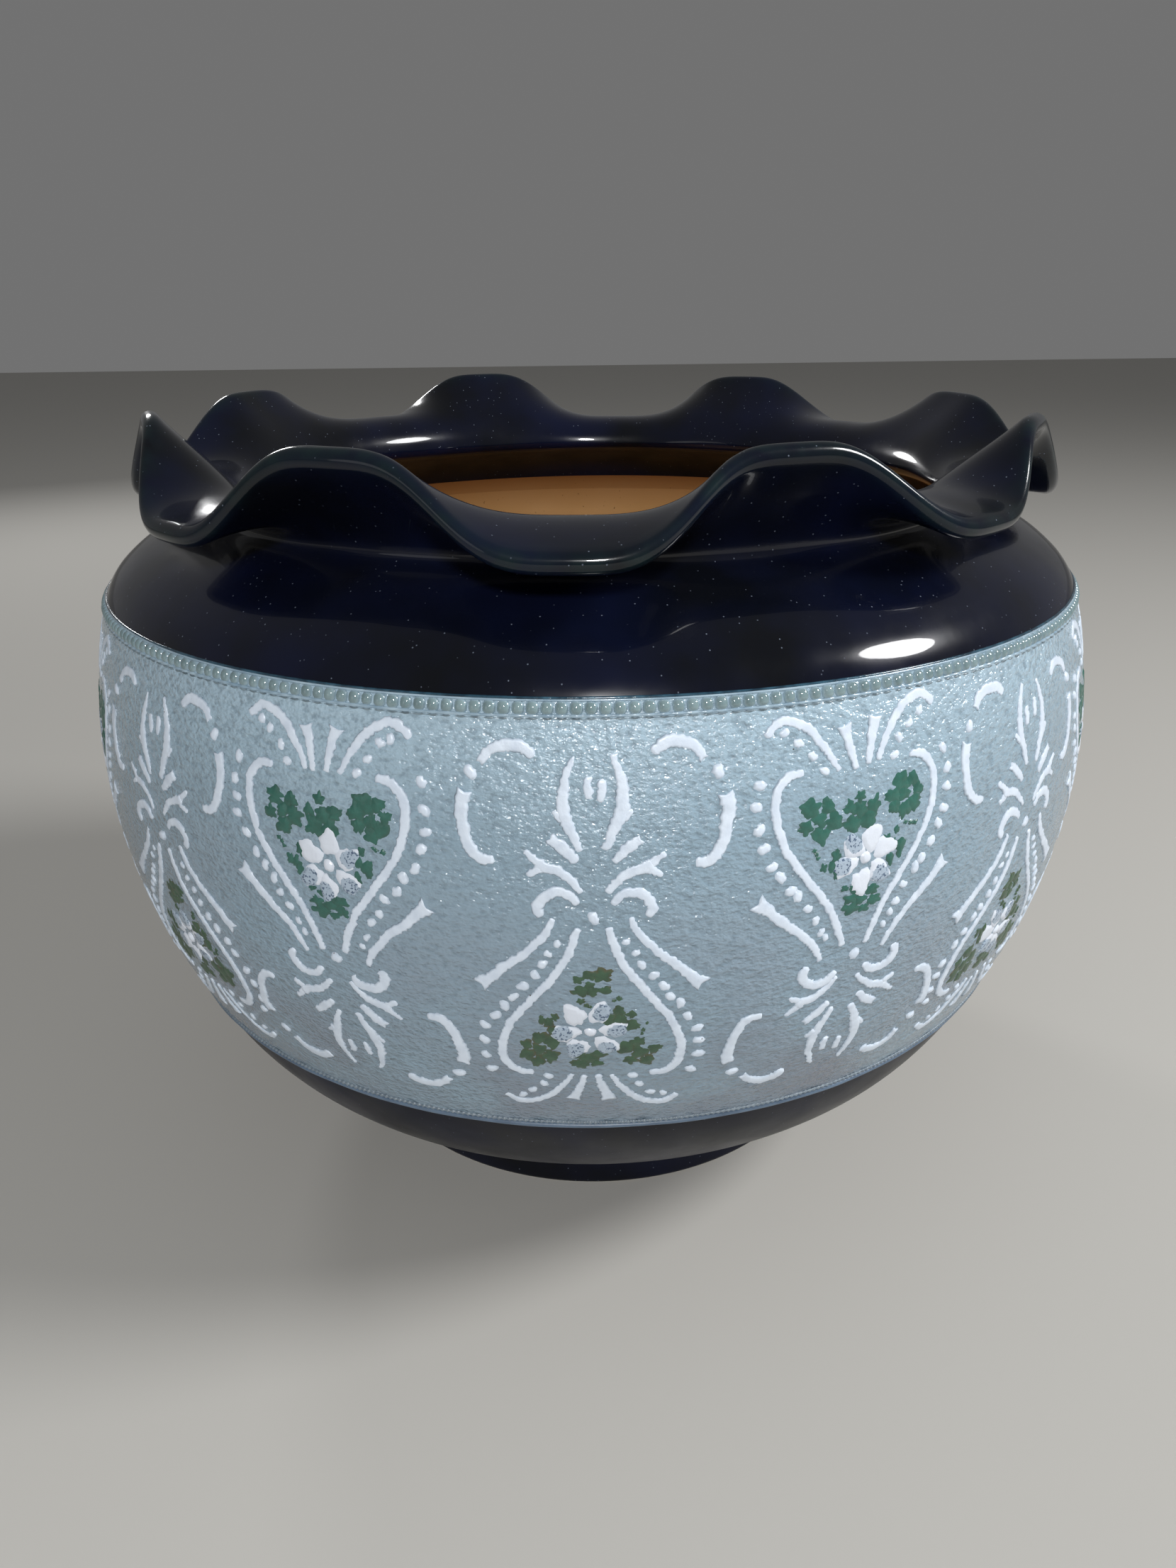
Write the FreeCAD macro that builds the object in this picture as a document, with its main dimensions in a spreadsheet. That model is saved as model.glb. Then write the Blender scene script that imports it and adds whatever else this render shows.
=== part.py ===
import FreeCAD, Part
import math
import os

import Sketcher

# A frilled stoneware jardiniere: a thrown pot of five members joined at level seams,
# with a bead row, thin fillets and hand-laid slip ornament on its belt.
# Millimetres, +Z up, the origin under the foot on the pot's axis.

DRIVING_SIZES = {
    "foot_bottom_radius": 69.0,
    "foot_top_radius": 70.0,
    "foot_height": 16.0,
    "foot_ring_width": 9.0,
    "foot_recess_depth": 8.0,
    "foot_edge_round": 1.5,
    "floor_radius": 54.0,
    "bowl_height": 40.0,
    "bowl_curve_radius": 66.0,
    "belt_radius": 126.7,
    "belt_height": 96.2,
    "belt_widest_rise": 56.5,
    "wall_thickness": 6.5,
    "shoulder_height": 16.3,
    "shoulder_knee_inset": 4.7,
    "shoulder_knee_rise": 6.1,
    "shoulder_corner_radius": 17.0,
    "shoulder_curve_radius": 43.0,
    "shoulder_inner_radius": 34.0,
    "neck_radius": 93.5,
    "neck_wall": 6.0,
    "lobe_count": 8,
    "crest_reach": 15.0,
    "crest_rise": 20.8,
    "dip_reach": 24.0,
    "dip_rise": 5.0,
    "lip_thickness": 4.4,
    "bead_count": 304,
    "bead_radius": 1.0,
    "bead_height": 0.9,
    "bead_fillet_drop": 0.3,
    "bead_fillet_spacing": 2.6,
    "bead_fillet_radius": 0.28,
    "foot_fillet_lift": 0.6,
    "foot_fillet_radius": 0.5,
    "foot_cord_lift": 1.9,
    "foot_cord_radius": 0.4,
    "motif_count": 16,
    "stroke_width": 2.6,
    "slip_height": 0.7,
    "dot_radius": 1.1,
    "dot_height": 0.6,
    "leaf_height": 0.35,
    "petal_height": 0.8,
    "petal_length": 4.6,
    "petal_width": 3.3,
    "petal_ring_radius": 4.1,
    "prism_overrun": 4.0,
}

doc = FreeCAD.newDocument("jardiniere")
sheet = doc.addObject("Spreadsheet::Sheet", "Sizes")
for row, (alias, number) in enumerate(DRIVING_SIZES.items(), start=1):
    sheet.set(f"A{row}", alias)
    sheet.set(f"B{row}", str(number))
    sheet.setAlias(f"B{row}", alias)
doc.recompute()


class Size:
    """A length with its formula in the sheet's names and its present value."""

    def __init__(self, formula, value):
        self.formula = formula
        self.value = value

    def __add__(self, other):
        return Size(f"({self.formula} + {other.formula})", self.value + other.value)

    def __sub__(self, other):
        return Size(f"({self.formula} - {other.formula})", self.value - other.value)

    def half(self):
        return Size(f"({self.formula} / 2)", self.value / 2)

    def leg(self, other):
        """The other leg of a right triangle with this hypotenuse."""
        value = math.sqrt(self.value**2 - other.value**2)
        return Size(f"sqrt({self.formula}^2 - {other.formula}^2)", value)


def size(alias):
    return Size(f"Sizes.{alias}", float(sheet.get(alias)))


# Heights of the seams, stacked from the foot up
foot_top = size("foot_height")
belt_bottom = foot_top + size("bowl_height")
belt_top = belt_bottom + size("belt_height")
neck_height = belt_top + size("shoulder_height")
belt_centre = belt_bottom + size("belt_widest_rise")
wall = size("wall_thickness")
belt_outer = size("belt_radius")
belt_inner = belt_outer - wall
neck_inner = size("neck_radius") - size("neck_wall")


def belt_reach(sphere, height):
    """Radius of the belt's ball-shaped wall at a height."""
    return sphere.leg(height - belt_centre)


# Turned members: each is a closed outline in the XZ plane, swept round the axis
LEFT = 1
RIGHT = -1


def new_outline(name):
    """A body with an empty sketch on its own XZ plane, where x is radius and y is height."""
    body = doc.addObject("PartDesign::Body", name)
    body.Label = name
    sketch = body.newObject("Sketcher::SketchObject", name + "_outline")
    plane = next(item for item in body.Origin.OriginFeatures if item.Role == "XZ_Plane")
    sketch.AttachmentSupport = [(plane, "")]
    sketch.MapMode = "FlatFace"
    return body, sketch


def point(radius, height):
    return FreeCAD.Vector(radius.value, height.value, 0)


def hold(sketch, kind, edge, end, length):
    """Hold one coordinate of an edge's end at a length from the origin."""
    number = sketch.addConstraint(Sketcher.Constraint(kind, -1, 1, edge, end, length.value))
    sketch.setExpression(f"Constraints[{number}]", length.formula)


def arc_between(start, end, radius):
    """The short arc from start to end, turning anticlockwise."""
    chord = end - start
    half = chord.Length / 2
    across = FreeCAD.Vector(-chord.y, chord.x, 0).normalize()
    centre = (start + end) / 2 + across * math.sqrt(radius**2 - half**2)
    first = math.atan2(start.y - centre.y, start.x - centre.x)
    last = math.atan2(end.y - centre.y, end.x - centre.x)
    circle = Part.Circle(centre, FreeCAD.Vector(0, 0, 1), radius)
    return Part.ArcOfCircle(circle, first, last)


def draw_outline(sketch, corners, curves):
    """Draw a closed outline: corners in order, and a side and radius for each bent edge.

    A corner is (radius, height). curves maps an edge's number to (side, radius), where
    LEFT is an edge that turns anticlockwise and RIGHT one that turns clockwise.
    """
    edges = []
    for number, (radius, height) in enumerate(corners):
        start = point(radius, height)
        end = point(*corners[(number + 1) % len(corners)])
        curve = curves.get(number)
        if curve is None:
            edge = sketch.addGeometry(Part.LineSegment(start, end))
            ends = (1, 2)
        elif curve[0] == LEFT:
            edge = sketch.addGeometry(arc_between(start, end, curve[1].value))
            ends = (1, 2)
        else:
            edge = sketch.addGeometry(arc_between(end, start, curve[1].value))
            ends = (2, 1)
        edges.append((edge, ends))
        if curve is not None:
            held = sketch.addConstraint(Sketcher.Constraint("Radius", edge, curve[1].value))
            sketch.setExpression(f"Constraints[{held}]", curve[1].formula)
    for number, (edge, ends) in enumerate(edges):
        following, following_ends = edges[(number + 1) % len(edges)]
        joint = Sketcher.Constraint("Coincident", edge, ends[1], following, following_ends[0])
        sketch.addConstraint(joint)
        radius, height = corners[number]
        if radius.value == 0:
            sketch.addConstraint(Sketcher.Constraint("PointOnObject", edge, ends[0], -2))
        else:
            hold(sketch, "DistanceX", edge, ends[0], radius)
        if height.value == 0:
            sketch.addConstraint(Sketcher.Constraint("PointOnObject", edge, ends[0], -1))
        else:
            hold(sketch, "DistanceY", edge, ends[0], height)


def turn(body, sketch):
    """Sweep the outline right round the pot's axis."""
    sweep = body.newObject("PartDesign::Revolution", body.Name + "_turned")
    sweep.Profile = sketch
    sweep.ReferenceAxis = (sketch, ["V_Axis"])
    sweep.Angle = 360
    body.Tip = sweep
    return sweep


nothing = Size("0", 0.0)

# Foot: a ring to stand on, with the pot's base across it above a shallow recess
foot, foot_sketch = new_outline("foot_base")
foot_inner = size("foot_bottom_radius") - size("foot_ring_width")
foot_corners = [
    (nothing, size("foot_recess_depth")),
    (foot_inner, size("foot_recess_depth")),
    (foot_inner, nothing),
    (size("foot_bottom_radius"), nothing),
    (size("foot_top_radius"), foot_top),
    (nothing, foot_top),
]
draw_outline(foot_sketch, foot_corners, {})
foot_turned = turn(foot, foot_sketch)
doc.recompute()
standing_edges = [
    f"Edge{number}"
    for number, edge in enumerate(foot_turned.Shape.Edges, start=1)
    if edge.CenterOfMass.z < FreeCAD.Base.Precision.confusion()
]
foot_round = foot.newObject("PartDesign::Fillet", "foot_rounding")
foot_round.Base = (foot_turned, standing_edges)
foot_round.setExpression("Radius", size("foot_edge_round").formula)
foot.Tip = foot_round

# Lower bowl: an open curved wall from the foot out to the belt
bowl, bowl_sketch = new_outline("lower_bowl")
bowl_corners = [
    (size("floor_radius"), foot_top),
    (size("foot_top_radius"), foot_top),
    (belt_reach(belt_outer, belt_bottom), belt_bottom),
    (belt_reach(belt_inner, belt_bottom), belt_bottom),
]
bowl_curves = {
    1: (LEFT, size("bowl_curve_radius")),
    3: (RIGHT, size("bowl_curve_radius") - wall),
}
draw_outline(bowl_sketch, bowl_corners, bowl_curves)
turn(bowl, bowl_sketch)

# Belt: the ball-shaped wall that carries the ornament
belt, belt_sketch = new_outline("belt_wall")
belt_corners = [
    (belt_reach(belt_inner, belt_bottom), belt_bottom),
    (belt_reach(belt_outer, belt_bottom), belt_bottom),
    (belt_reach(belt_outer, belt_top), belt_top),
    (belt_reach(belt_inner, belt_top), belt_top),
]
draw_outline(belt_sketch, belt_corners, {1: (LEFT, belt_outer), 3: (RIGHT, belt_inner)})
turn(belt, belt_sketch)

# Shoulder: it rolls over from the belt, then runs in flatter to the neck
shoulder, shoulder_sketch = new_outline("shoulder")
knee_radius = belt_reach(belt_outer, belt_top) - size("shoulder_knee_inset")
knee_height = belt_top + size("shoulder_knee_rise")
shoulder_corners = [
    (belt_reach(belt_inner, belt_top), belt_top),
    (belt_reach(belt_outer, belt_top), belt_top),
    (knee_radius, knee_height),
    (size("neck_radius"), neck_height),
    (neck_inner, neck_height),
]
shoulder_curves = {
    1: (LEFT, size("shoulder_corner_radius")),
    2: (LEFT, size("shoulder_curve_radius")),
    4: (RIGHT, size("shoulder_inner_radius")),
}
draw_outline(shoulder_sketch, shoulder_corners, shoulder_curves)
turn(shoulder, shoulder_sketch)

# Frilled rim: one wall whose section swings between a raised crest and a dip that
# curls out and down. A section is a Bezier curve given by four points, in shares of
# the reach outwards and the rise from the neck.
CREST_SHARES = [(0.0, 0.0), (0.0, 0.38), (0.53, 0.6), (1.0, 1.0)]
DIP_SHARES = [(0.0, 0.0), (0.0, 1.35), (0.27, 2.0), (1.0, 1.0)]
# Each lobe was pinched out by hand. A row is one lobe: how far its crest is out of its
# even place, in shares of the lobes' pitch, then the crest's reach and rise as shares of
# the even ones, and the same three for the dip that follows it round the pot.
LOBE_SHARES = [
    (-0.04, 0.85, 0.98, -0.02, 0.9, 1.0),
    (-0.11, 1.1, 0.96, -0.15, 0.95, 0.55),
    (-0.13, 1.15, 0.91, -0.13, 1.0, 1.1),
    (-0.17, 0.9, 0.97, -0.13, 1.0, 0.95),
    (-0.05, 0.9, 1.03, -0.09, 1.0, 1.35),
    (0.0, 1.0, 1.0, 0.0, 0.95, 0.6),
    (-0.01, 0.95, 1.06, -0.04, 0.93, 0.9),
    (-0.05, 1.2, 1.0, -0.04, 1.0, 1.1),
]
# The front of the pot lies this share of a pitch before the first crest's even place
FIRST_CREST_SHARE = 0.5
FLANK_STEEPNESS_SHARE = 0.5
SIDE_SHARES = [0.0, 0.2, 0.4, 0.6, 0.8, 1.0]
TIP_TURNS = [45, 90, 135]
STATIONS_PER_FLANK = 5

lobe_count = int(size("lobe_count").value)
lobe_pitch = 2 * math.pi / lobe_count


def crest_and_dip(number):
    """A lobe's crest and the dip after it, each as its angle, reach and rise."""
    laps, place = divmod(number, lobe_count)
    row = LOBE_SHARES[place % len(LOBE_SHARES)]
    start = laps * 2 * math.pi
    crest = (
        start + (place + FIRST_CREST_SHARE + row[0]) * lobe_pitch,
        row[1] * size("crest_reach").value,
        row[2] * size("crest_rise").value,
    )
    dip = (
        start + (place + 1 + row[3]) * lobe_pitch,
        row[4] * size("dip_reach").value,
        row[5] * size("dip_rise").value,
    )
    return crest, dip


def section_points(crestness, crest, dip):
    """The rim's wall in section, from its outer foot over the lip to its inner foot."""
    middle = size("neck_radius").value - size("neck_wall").value / 2
    poles = []
    for crest_share, dip_share in zip(CREST_SHARES, DIP_SHARES):
        out = crestness * crest_share[0] * crest[1] + (1 - crestness) * dip_share[0] * dip[1]
        up = crestness * crest_share[1] * crest[2] + (1 - crestness) * dip_share[1] * dip[2]
        poles.append(FreeCAD.Vector(middle + out, neck_height.value + up, 0))
    line = Part.BezierCurve()
    line.setPoles(poles)
    outer, inner = [], []
    for share in SIDE_SHARES:
        place = line.value(share)
        along = line.tangent(share)[0]
        across = FreeCAD.Vector(along.y, -along.x, 0)
        thickness = size("neck_wall").value * (1 - share) + size("lip_thickness").value * share
        outer.append(place + across * (thickness / 2))
        inner.append(place - across * (thickness / 2))
    tip = []
    for turned in TIP_TURNS:
        swing = math.radians(turned)
        reach = across * math.cos(swing) + along * math.sin(swing)
        tip.append(place + reach * (size("lip_thickness").value / 2))
    return outer + tip + inner[::-1]


def flank_stations(high, low):
    """Angles and sections down one flank, from its crest up to but not at its dip."""
    stations = []
    for step in range(STATIONS_PER_FLANK):
        share = step / STATIONS_PER_FLANK
        swing = math.cos(math.pi * share)
        swing *= 1 + FLANK_STEEPNESS_SHARE * (1 - swing**2)
        angle = high[0] + (low[0] - high[0]) * share
        stations.append((angle, section_points((1 + swing) / 2, high, low)))
    return stations


def rim_stations():
    """Angles and sections right round the rim, crest to dip to crest."""
    stations = []
    for number in range(lobe_count):
        crest, dip = crest_and_dip(number)
        next_crest = crest_and_dip(number + 1)[0]
        stations += flank_stations(crest, dip)
        stations.append((dip[0], section_points(0, crest, dip)))
        stations += flank_stations(next_crest, dip)[:0:-1]
    return stations


def frilled_rim():
    """Join the sections round the pot into one smooth wall that closes on itself.

    Each section is splined from foot to foot by its mean spacing, then each row of the
    splines' poles is splined round the pot, so the wall passes through every section.
    """
    angles, sections = [], []
    for angle, section in rim_stations():
        angles.append(angle)
        sections.append(
            [
                FreeCAD.Vector(place.x * math.sin(angle), -place.x * math.cos(angle), place.y)
                for place in section
            ]
        )
    spacing = [0.0]
    for level in range(1, len(sections[0])):
        steps = [(section[level] - section[level - 1]).Length for section in sections]
        spacing.append(spacing[-1] + sum(steps) / len(steps))
    section_poles = []
    for section in sections:
        upright = Part.BSplineCurve()
        upright.interpolate(Points=section, Parameters=spacing)
        section_poles.append(upright.getPoles())
    turns = [angle - angles[0] for angle in angles] + [2 * math.pi]
    rows = []
    for row in zip(*section_poles):
        level = Part.BSplineCurve()
        level.interpolate(Points=list(row), Parameters=turns, PeriodicFlag=True)
        rows.append(level.getPoles())
    skin = Part.BSplineSurface()
    skin.buildFromPolesMultsKnots(
        [list(column) for column in zip(*rows)],
        level.getMultiplicities(),
        upright.getMultiplicities(),
        level.getKnots(),
        upright.getKnots(),
        True,
        False,
        level.Degree,
        upright.Degree,
    )
    wall_face = skin.toShape()
    seat_edges = [edge for edge in wall_face.Edges if edge.isClosed()]
    seat_edges.sort(key=lambda edge: edge.Length, reverse=True)
    seat = Part.Face([Part.Wire([edge]) for edge in seat_edges])
    shell = Part.Shell([wall_face, seat])
    shell.sewShape()
    return Part.Solid(shell)


def add_feature(name, shape):
    """A sub-part whose shape is worked out here from the sheet's sizes."""
    feature = doc.addObject("Part::Feature", name)
    feature.Label = name
    feature.Shape = shape
    feature.Placement = FreeCAD.Placement()
    return feature


rim = add_feature("frilled_rim", frilled_rim())

# Rings on the belt: each is a ring of round section, cut back to the belt's surface
belt_ball = doc.addObject("Part::Sphere", "belt_surface")
belt_ball.setExpression("Radius", belt_outer.formula)
belt_ball.setExpression("Placement.Base.z", belt_centre.formula)


def belt_ring(name, height, radius):
    """A half-round fillet that lies on the belt at a height."""
    ring = doc.addObject("Part::Torus", name + "_ring")
    ring.setExpression("Radius1", belt_reach(belt_outer, height).formula)
    ring.setExpression("Radius2", radius.formula)
    ring.setExpression("Placement.Base.z", height.formula)
    fillet = doc.addObject("Part::Cut", name)
    fillet.Label = name
    fillet.Base = ring
    fillet.Tool = belt_ball
    return fillet


upper_fillet_height = belt_top - size("bead_fillet_drop")
lower_fillet_height = upper_fillet_height - size("bead_fillet_spacing")
foot_fillet_height = belt_bottom + size("foot_fillet_lift")
foot_cord_height = belt_bottom + size("foot_cord_lift")
rings = [
    belt_ring("bead_fillet_upper", upper_fillet_height, size("bead_fillet_radius")),
    belt_ring("bead_fillet_lower", lower_fillet_height, size("bead_fillet_radius")),
    belt_ring("belt_foot_fillet", foot_fillet_height, size("foot_fillet_radius")),
    belt_ring("belt_foot_cord", foot_cord_height, size("foot_cord_radius")),
]

# Places on the belt are directions from the centre of its ball-shaped surface
ball_centre = FreeCAD.Vector(0, 0, belt_centre.value)
ball_radius = belt_outer.value
ball = Part.makeSphere(ball_radius, ball_centre)
SIDEWAYS = FreeCAD.Vector(1, 0, 0)
FORWARDS = FreeCAD.Vector(0, -1, 0)
UPWARDS = FreeCAD.Vector(0, 0, 1)


def turned_about_ball(axis, degrees):
    return FreeCAD.Placement(FreeCAD.Vector(), FreeCAD.Rotation(axis, degrees), ball_centre)


def copy_at(shape, placement):
    duplicate = shape.copy()
    duplicate.Placement = placement.multiply(duplicate.Placement)
    return duplicate


def dome(footprint, height):
    """A drop of slip on the belt, at the front of its widest line."""
    drop_radius = (footprint**2 + height**2) / (2 * height)
    seat = ball_centre + FORWARDS * (ball_radius + height - drop_radius)
    return Part.makeSphere(drop_radius, seat).cut(ball)


def latitude_of(height):
    """Degrees of a height above the belt's widest line, seen from the ball's centre."""
    return math.degrees(math.asin((height.value - belt_centre.value) / ball_radius))


def bead_row():
    """Half-round beads at an even pitch, midway between their two fillets."""
    bead_latitude = latitude_of(upper_fillet_height - size("bead_fillet_spacing").half())
    bead = dome(size("bead_radius").value, size("bead_height").value)
    raised = copy_at(bead, turned_about_ball(SIDEWAYS, -bead_latitude))
    count = int(size("bead_count").value)
    beads = [
        copy_at(raised, turned_about_ball(UPWARDS, 360 * number / count)) for number in range(count)
    ]
    return Part.makeCompound(beads)


beads = add_feature("bead_row", bead_row())

# Ornament. A motif has a knot, a palmette on one side of it and a heart on the other.
# Places are shares: across, of half the motifs' pitch, from the motif's middle line;
# along, of the motif's reach, from the knot. The palmette is on the plus side. Widths
# are shares of the stroke width.
MOTIF_REACH_SHARE = 0.505
UPRIGHT_KNOT_SHARE = 0.597
INVERTED_KNOT_SHARE = 0.45

STROKE_SHARES = {
    "palmette_inner_petals": [
        (0.12, 0.61, 0.35), (0.175, 0.54, 0.7), (0.2, 0.48, 0.9),
        (0.195, 0.41, 1.1), (0.145, 0.34, 0.9), (0.075, 0.26, 0.55),
    ],
    "palmette_dashes": [(0.056, 0.525, 0.65), (0.054, 0.485, 0.75), (0.052, 0.45, 0.5)],
    "palmette_middle_petals": [(0.34, 0.31, 0.8), (0.235, 0.27, 1.0), (0.125, 0.215, 0.6)],
    "palmette_outer_petals": [
        (0.46, 0.22, 1.7), (0.38, 0.2, 1.0), (0.265, 0.185, 0.85), (0.16, 0.145, 0.7),
        (0.085, 0.1, 0.5),
    ],
    "knot_hooks": [
        (0.13, 0.05, 0.6), (0.2, 0.09, 0.85), (0.3, 0.1, 0.95), (0.39, 0.075, 0.95),
        (0.425, 0.035, 0.95), (0.385, 0.0, 0.75),
    ],
    "heart_outlines": [
        (0.1, -0.04, 0.65), (0.15, -0.12, 0.8), (0.24, -0.22, 0.8), (0.375, -0.32, 0.8),
        (0.52, -0.42, 0.8), (0.635, -0.52, 0.85), (0.685, -0.62, 0.9), (0.66, -0.72, 0.9),
        (0.56, -0.77, 0.85), (0.44, -0.775, 0.65),
    ],
    "heart_flares": [
        (0.27, 0.0, 0.5), (0.345, -0.075, 0.75), (0.48, -0.15, 0.8), (0.64, -0.22, 0.95),
        (0.77, -0.28, 1.1), (0.85, -0.32, 1.9),
    ],
    "fan_swooshes": [
        (0.15, -0.77, 0.5), (0.26, -0.87, 0.75), (0.41, -0.955, 0.85), (0.57, -0.98, 0.85),
        (0.71, -0.93, 0.7),
    ],
    "fan_petals": [(0.05, -0.77, 0.5), (0.085, -0.85, 0.75), (0.13, -0.935, 1.1)],
    "scroll_arches": [
        (0.79, 0.57, 0.75), (0.71, 0.62, 0.9), (0.6, 0.64, 1.05), (0.49, 0.635, 1.05),
        (0.4, 0.6, 0.8),
    ],
    "scroll_cees": [
        (0.91, 0.465, 1.25), (0.94, 0.41, 1.2), (0.93, 0.34, 1.05), (0.89, 0.265, 1.0),
        (0.81, 0.215, 0.95), (0.7, 0.21, 0.7),
    ],
}
# Strokes that end in a fork, with the end that is split and the notch's depth as a
# share of that end's width
FORK_SHARES = {"palmette_outer_petals": ("start", 0.45), "heart_flares": ("end", 0.45)}

DOT_SHARES = {
    "knot_dots": [(0.0, 0.0, 1.1)],
    "heart_dots": [
        (0.255, -0.1, 0.7), (0.31, -0.15, 0.75), (0.37, -0.2, 0.85), (0.435, -0.25, 0.9),
        (0.51, -0.3, 1.0), (0.585, -0.35, 1.0), (0.66, -0.4, 1.0), (0.735, -0.46, 1.0),
        (0.8, -0.53, 1.0), (0.83, -0.6, 1.0), (0.83, -0.68, 1.0), (0.79, -0.76, 1.0),
    ],
    "fan_dots": [
        (0.31, -0.78, 0.85), (0.375, -0.84, 0.85), (0.47, -0.89, 0.85), (0.565, -0.92, 0.85),
    ],
    "scroll_dots": [(0.86, 0.53, 1.1)],
}

# Leaves in the heart: place, half size across and along, number of lobes. The upright
# motifs' hearts were filled one way and the inverted ones' another.
UPRIGHT_LEAF_SHARES = [
    (0.0, -0.275, 0.16, 0.055, 7), (-0.17, -0.37, 0.05, 0.022, 5), (0.22, -0.36, 0.05, 0.024, 5),
    (-0.385, -0.48, 0.075, 0.055, 5), (0.37, -0.465, 0.085, 0.06, 5), (0.5, -0.535, 0.035, 0.02, 4),
    (-0.4, -0.655, 0.165, 0.08, 7), (0.4, -0.655, 0.16, 0.08, 7), (0.0, -0.685, 0.14, 0.045, 6),
]
INVERTED_LEAF_SHARES = [
    (0.0, -0.228, 0.13, 0.042, 6), (0.305, -0.41, 0.075, 0.052, 5), (-0.36, -0.45, 0.075, 0.06, 5),
    (0.4, -0.595, 0.165, 0.08, 7), (-0.415, -0.61, 0.165, 0.085, 7), (0.0, -0.62, 0.165, 0.05, 6),
]
LEAF_LOBE_SHARE = 0.16
UPRIGHT_FLOWER_SHARES = (0.0, -0.5)
INVERTED_FLOWER_SHARES = (-0.036, -0.416)
PETAL_COUNT = 6
PETAL_OUTLINE_POINTS = 8
FLOWER_EYE_SHARE = 0.9
LEAF_POINTS_PER_LOBE = 4

motif_count = int(size("motif_count").value)
half_pitch = math.pi * ball_radius / motif_count
belt_low = latitude_of(belt_bottom)
belt_span = latitude_of(belt_top) - belt_low
motif_reach = MOTIF_REACH_SHARE * math.radians(belt_span) * ball_radius


def direction(across, along):
    """Outward direction at a place in a motif whose knot is at the belt's widest line."""
    latitude = along / ball_radius
    longitude = across / (ball_radius * math.cos(latitude))
    level = math.cos(latitude)
    return FreeCAD.Vector(
        level * math.sin(longitude), -level * math.cos(longitude), math.sin(latitude)
    )


def motif_placements():
    """Rigid moves of the motif's pattern over the ball to each of its places."""
    upright_lift = belt_low + UPRIGHT_KNOT_SHARE * belt_span
    inverted_lift = belt_low + INVERTED_KNOT_SHARE * belt_span
    upright = turned_about_ball(SIDEWAYS, -upright_lift)
    inverted = turned_about_ball(SIDEWAYS, -inverted_lift).multiply(turned_about_ball(FORWARDS, 180))
    placements = []
    for number in range(motif_count):
        round_pot = turned_about_ball(UPWARDS, 360 * number / motif_count)
        placements.append(round_pot.multiply(inverted if number % 2 else upright))
    return placements


class Tangent:
    """A flat frame that touches the belt at the middle of an ornament."""

    def __init__(self, places):
        across = sum(place[0] for place in places) / len(places)
        along = sum(place[1] for place in places) / len(places)
        self.outward = direction(across, along)
        self.origin = ball_centre + self.outward * ball_radius
        self.right = UPWARDS.cross(self.outward).normalize()
        self.up = self.outward.cross(self.right)

    def flat(self, across, along):
        """A place on the belt, dropped square onto the frame, as flat coordinates."""
        offset = ball_centre + direction(across, along) * ball_radius - self.origin
        return FreeCAD.Vector(offset.dot(self.right), offset.dot(self.up), 0)

    def solid(self, outline, height):
        """The outline's solid between the belt's surface and a height above it."""
        overrun = size("prism_overrun").value
        frame = FreeCAD.Placement(
            self.origin - self.outward * overrun,
            FreeCAD.Rotation(self.right, self.up, self.outward, "ZXY"),
        )
        face = Part.Face(outline)
        face.Placement = frame
        prism = face.extrude(self.outward * (2 * overrun))
        top = Part.makeSphere(ball_radius + height, ball_centre)
        return prism.common(top).cut(ball).Solids[0]


def spline(points):
    curve = Part.BSplineCurve()
    curve.interpolate(points)
    return curve


def stroke_outline(points, widths, fork):
    """A closed outline of the given width along a line, with round ends or one fork."""
    line = spline(points)
    sides = ([], [])
    directions = []
    for place, width in zip(points, widths):
        along = line.tangent(line.parameter(place))[0]
        across = FreeCAD.Vector(-along.y, along.x, 0)
        sides[0].append(place + across * (width / 2))
        sides[1].append(place - across * (width / 2))
        directions.append(along)
    edges = [spline(sides[0]).toShape()]
    for end, outwards in ((-1, 1), (0, -1)):
        tip_from, tip_to = (sides[0][end], sides[1][end]) if end else (sides[1][end], sides[0][end])
        wanted = "end" if end else "start"
        if fork and fork[0] == wanted:
            notch = points[end] - directions[end] * (outwards * fork[1] * widths[end])
            edges.append(Part.LineSegment(tip_from, notch).toShape())
            edges.append(Part.LineSegment(notch, tip_to).toShape())
        else:
            peak = points[end] + directions[end] * (outwards * widths[end] / 2)
            edges.append(Part.Arc(tip_from, peak, tip_to).toShape())
        if end:
            edges.append(spline(sides[1][::-1]).toShape())
    return Part.Wire(edges)


def oval_points(tangent, place, half_sizes, steps, lobes=0, depth_share=0):
    """Points round an oval, waved into lobes where a depth is given."""
    points = []
    for step in range(steps):
        angle = 2 * math.pi * step / steps
        swell = 1 + depth_share * math.cos(lobes * angle)
        across = place[0] + half_sizes[0] * swell * math.cos(angle)
        along = place[1] + half_sizes[1] * swell * math.sin(angle)
        points.append(tangent.flat(across, along))
    return points


def strokes(name):
    """Both strokes of a pair, one the mirror image of the other."""
    places = [(row[0] * half_pitch, row[1] * motif_reach) for row in STROKE_SHARES[name]]
    widths = [row[2] * size("stroke_width").value for row in STROKE_SHARES[name]]
    tangent = Tangent(places)
    points = [tangent.flat(*place) for place in places]
    outline = stroke_outline(points, widths, FORK_SHARES.get(name))
    stroke = tangent.solid(outline, size("slip_height").value)
    return [stroke, stroke.mirror(ball_centre, SIDEWAYS)]


def laid_drop(drop, across_share, along_share):
    """A drop moved over the ball to a place in the motif."""
    latitude = math.degrees(along_share * motif_reach / ball_radius)
    level = math.cos(math.radians(latitude))
    longitude = math.degrees(across_share * half_pitch / (ball_radius * level))
    raised = turned_about_ball(SIDEWAYS, -latitude)
    return copy_at(drop, turned_about_ball(UPWARDS, longitude).multiply(raised))


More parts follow.
